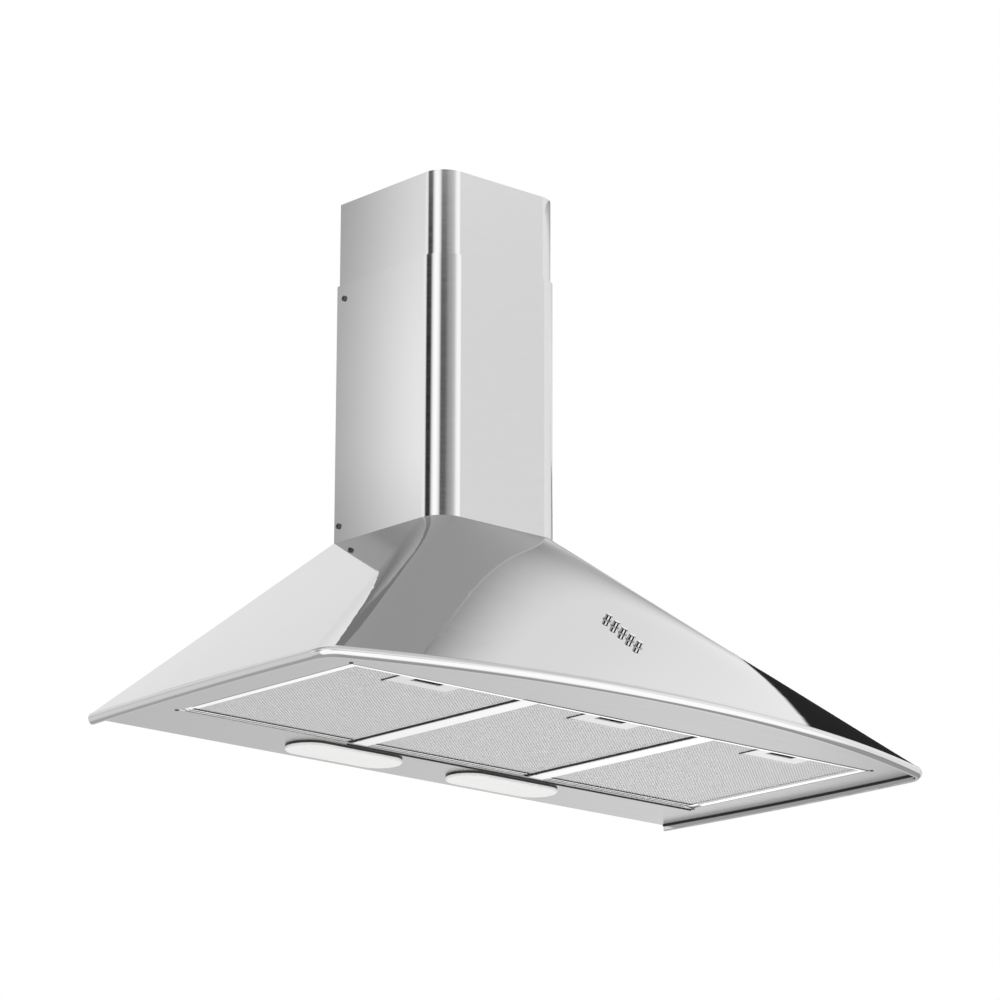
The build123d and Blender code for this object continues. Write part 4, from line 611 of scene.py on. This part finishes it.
def add_hems(bright):
    """Bright folded edges of the filters where they meet the panel, flush with it."""
    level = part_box("underside_panel")[0].z
    half = HEM_WIDTH / 2
    for number in (1, 2, 3):
        low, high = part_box(f"filter_frame_{number}")
        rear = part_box(f"filter_mesh_{number}")[1].y + FRAME_SHEET
        hems = [bar((low.x, low.y + half), (high.x, low.y + half), HEM_WIDTH, level, low.z)]
        side = {1: low.x + SIDE_HEM_WIDTH / 2, 3: high.x - SIDE_HEM_WIDTH / 2}.get(number)
        if side:
            step = (side, rear - SIDE_HEM_STEP)
            hems.append(bar((side, low.y + HEM_WIDTH), step, SIDE_HEM_WIDTH, level, low.z))
            hems.append(bar(step, (side, rear), SIDE_HEM_WIDTH, low.z - FRAME_SHEET, low.z))
        add_bars(f"filter_hem_{number}", hems, bright, f"filter_{number}")


def add_field_details(dark):
    first_low, first_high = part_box("filter_frame_1")
    last_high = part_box("filter_frame_3")[1]
    bar_low, bar_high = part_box("crossbar_1")
    left, right = first_low.x - FIELD_GAP, last_high.x + FIELD_GAP
    front, rear = bar_low.y, bar_high.y
    panel_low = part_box("underside_panel")[0]
    rear_shade = rear + REAR_SHADE_OFFSET
    front_shade = front + FRONT_SHADE_INSET
    top = panel_low.z + SHADE_LINE_DEPTH
    # Dark lines at the field's rear and front edges and along each crossbar's left wall: painted shade where
    # these gaps and walls lie in shadow
    lines = [
        bar((first_high.x, rear_shade), (right + REAR_SHADE_REACH, rear_shade), LINE_WIDTH, panel_low.z - REAR_SHADE_HEIGHT, top),
        bar((first_high.x, front_shade), (right, front_shade), FRONT_SHADE_WIDTH,
            panel_low.z - FRONT_SHADE_HEIGHT, top),
    ]
    for number in (1, 2):
        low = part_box(f"crossbar_{number}")[0]
        wall = low.x - WALL_LINE / 2 - CLEAR
        foot = low.z + WALL_LINE_FOOT
        lines.append(bar((wall, front + HEM_WIDTH), (wall, rear), WALL_LINE, foot, foot + WALL_LINE_HEIGHT))
    add_bars("field_shade_lines", lines, dark, "hood")
    add_relief_hole_shade((left, right), (front, rear), panel_low.z, dark)


def add_relief_hole_shade(sides, ends, level, dark):
    """Round black discs in the relief holes outside the field's corners, painted shade of the open holes."""
    left, right = sides
    front, rear = ends
    bottom, top = level - RELIEF_STAND, level + RELIEF_DEPTH
    circle = [math.tau * turn / RELIEF_SIDES for turn in range(RELIEF_SIDES)]
    points, faces = [], []
    for x in (left - RELIEF_OFFSET, right + RELIEF_OFFSET):
        for y in (front - RELIEF_OFFSET, rear + RELIEF_OFFSET):
            low = len(points)
            high = low + RELIEF_SIDES
            for height in (bottom, top):
                for turn in circle:
                    across, along = RELIEF_RADIUS * math.cos(turn), RELIEF_RADIUS * math.sin(turn)
                    points.append((x + across, y + along, height))
            faces.append([low + side for side in reversed(range(RELIEF_SIDES))])
            faces.append([high + side for side in range(RELIEF_SIDES)])
            for side in range(RELIEF_SIDES):
                following = (side + 1) % RELIEF_SIDES
                faces.append((low + side, low + following, high + following, high + side))
    add_piece("relief_hole_shade", points, faces, dark, "hood")


def outline_of(name, level):
    """Convex outline, in plan, of a node's points at one height."""
    corners = [vertex.co for vertex in nodes[name].data.vertices if abs(vertex.co.z - level) < SAME_LEVEL]
    points = sorted({(round(corner.x, 6), round(corner.y, 6)) for corner in corners})

    def chain(points):
        kept = []
        for point in points:
            while len(kept) > 1 and (
                (kept[-1][0] - kept[-2][0]) * (point[1] - kept[-2][1])
                <= (kept[-1][1] - kept[-2][1]) * (point[0] - kept[-2][0])
            ):
                kept.pop()
            kept.append(point)
        return kept[:-1]

    return chain(points) + chain(points[::-1])


def add_panel_shade_line(dark):
    """Black line of painted shade between the panel and the rim's inner wall, open at the wall side."""
    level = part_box("underside_panel")[0].z
    outline = [Vector(point) for point in outline_of("underside_panel", level)]
    # start the chain at the wall's left end and leave out the straight run along the wall
    first = max(range(len(outline)), key=lambda index: (round(outline[index].y, 4), -outline[index].x))
    outline = outline[first:] + outline[:first]
    if (outline[1] - outline[0]).x > WALL_RUN:
        outline = outline[1:] + outline[:1]
    points, faces = [], []
    count = len(outline)
    for index, place in enumerate(outline):
        before = outline[max(index - 1, 0)]
        after = outline[min(index + 1, count - 1)]
        along = (after - before).normalized()
        inward = Vector((-along.y, along.x))
        for offset, height in ((-1, 0.0), (1, 0.0), (1, -PANEL_SHADE_HEIGHT), (-1, -PANEL_SHADE_HEIGHT)):
            spot = place + inward * (PANEL_SHADE_INSET + offset * PANEL_SHADE_WIDTH / 2)
            points.append((spot.x, min(spot.y, -CLEAR), level + height))
    for index in range(count - 1):
        for corner in range(4):
            following = (corner + 1) % 4
            here, ahead = index * 4, index * 4 + 4
            faces.append((here + corner, here + following, ahead + following, ahead + corner))
    faces += [(3, 2, 1, 0), tuple(count * 4 - 4 + corner for corner in range(4))]
    add_piece("panel_shade_line", points, faces, dark, "hood")


def add_button_ribs(number, bright):
    """Fine bright ribs along a button's side, which is painted dark as shade."""
    axis = button_axis()
    side = Vector((1.0, 0.0, 0.0))
    up = axis.cross(side)
    # the cap's face is the part of the button that stands farthest out along the axis
    corners = [vertex.co for vertex in nodes[f"button_{number}"].data.vertices]
    reach = max(point.dot(axis) for point in corners)
    face = [point for point in corners if point.dot(axis) > reach - SAME_LEVEL]
    spans = [[point[place] for point in face] for place in range(3)]
    middle = Vector([(min(span) + max(span)) / 2 for span in spans])
    foot = middle - axis * RIB_TOP
    points, faces = [], []
    for rib in range(RIB_COUNT):
        turn = math.tau * (rib + 0.5) / RIB_COUNT
        out = side * math.cos(turn) + up * math.sin(turn)
        across = axis.cross(out) * (RIB_WIDTH / 2)
        start = len(points)
        for level in (-RIB_LENGTH, 0.0):
            for depth, edge in ((-RIB_HEIGHT, -1), (RIB_HEIGHT, -1), (RIB_HEIGHT, 1), (-RIB_HEIGHT, 1)):
                points.append(foot + axis * level + out * (BUTTON_RADIUS + depth) + across * edge)
        faces += [tuple(corner + start for corner in face) for face in BAR_FACES]
    add_piece(f"button_ribs_{number}", points, faces, bright, f"button_{number}")


def add_details():
    strand = grained("strand_aluminium", 0.72, 0.25, FINE_GRAIN, 0.05, 0.05, edge=1.0)
    # near black used as painted shade: lines and discs put where gaps, holes and recess walls lie in shadow
    dark = plain("painted_shade_black", (0.01, 0.01, 0.01), 0.6)
    for number in (1, 2, 3):
        add_filter_details(number, strand, dark)
    hem = grained("hem_aluminium", 0.97, 0.16, FINE_GRAIN, 0.01, 0.03, edge=1.0)
    add_field_details(dark)
    add_panel_shade_line(dark)
    rib = plain("rib_bright", (0.9, 0.9, 0.9), 0.1, 1.0)
    for number in range(1, 6):
        add_button_ribs(number, rib)
    add_hems(hem)


bpy.context.scene.view_settings.view_transform = "Standard"
make_studio()
make_ceiling_card()
make_side_card()
make_floor()
make_camera()
dress_frame()
add_details()
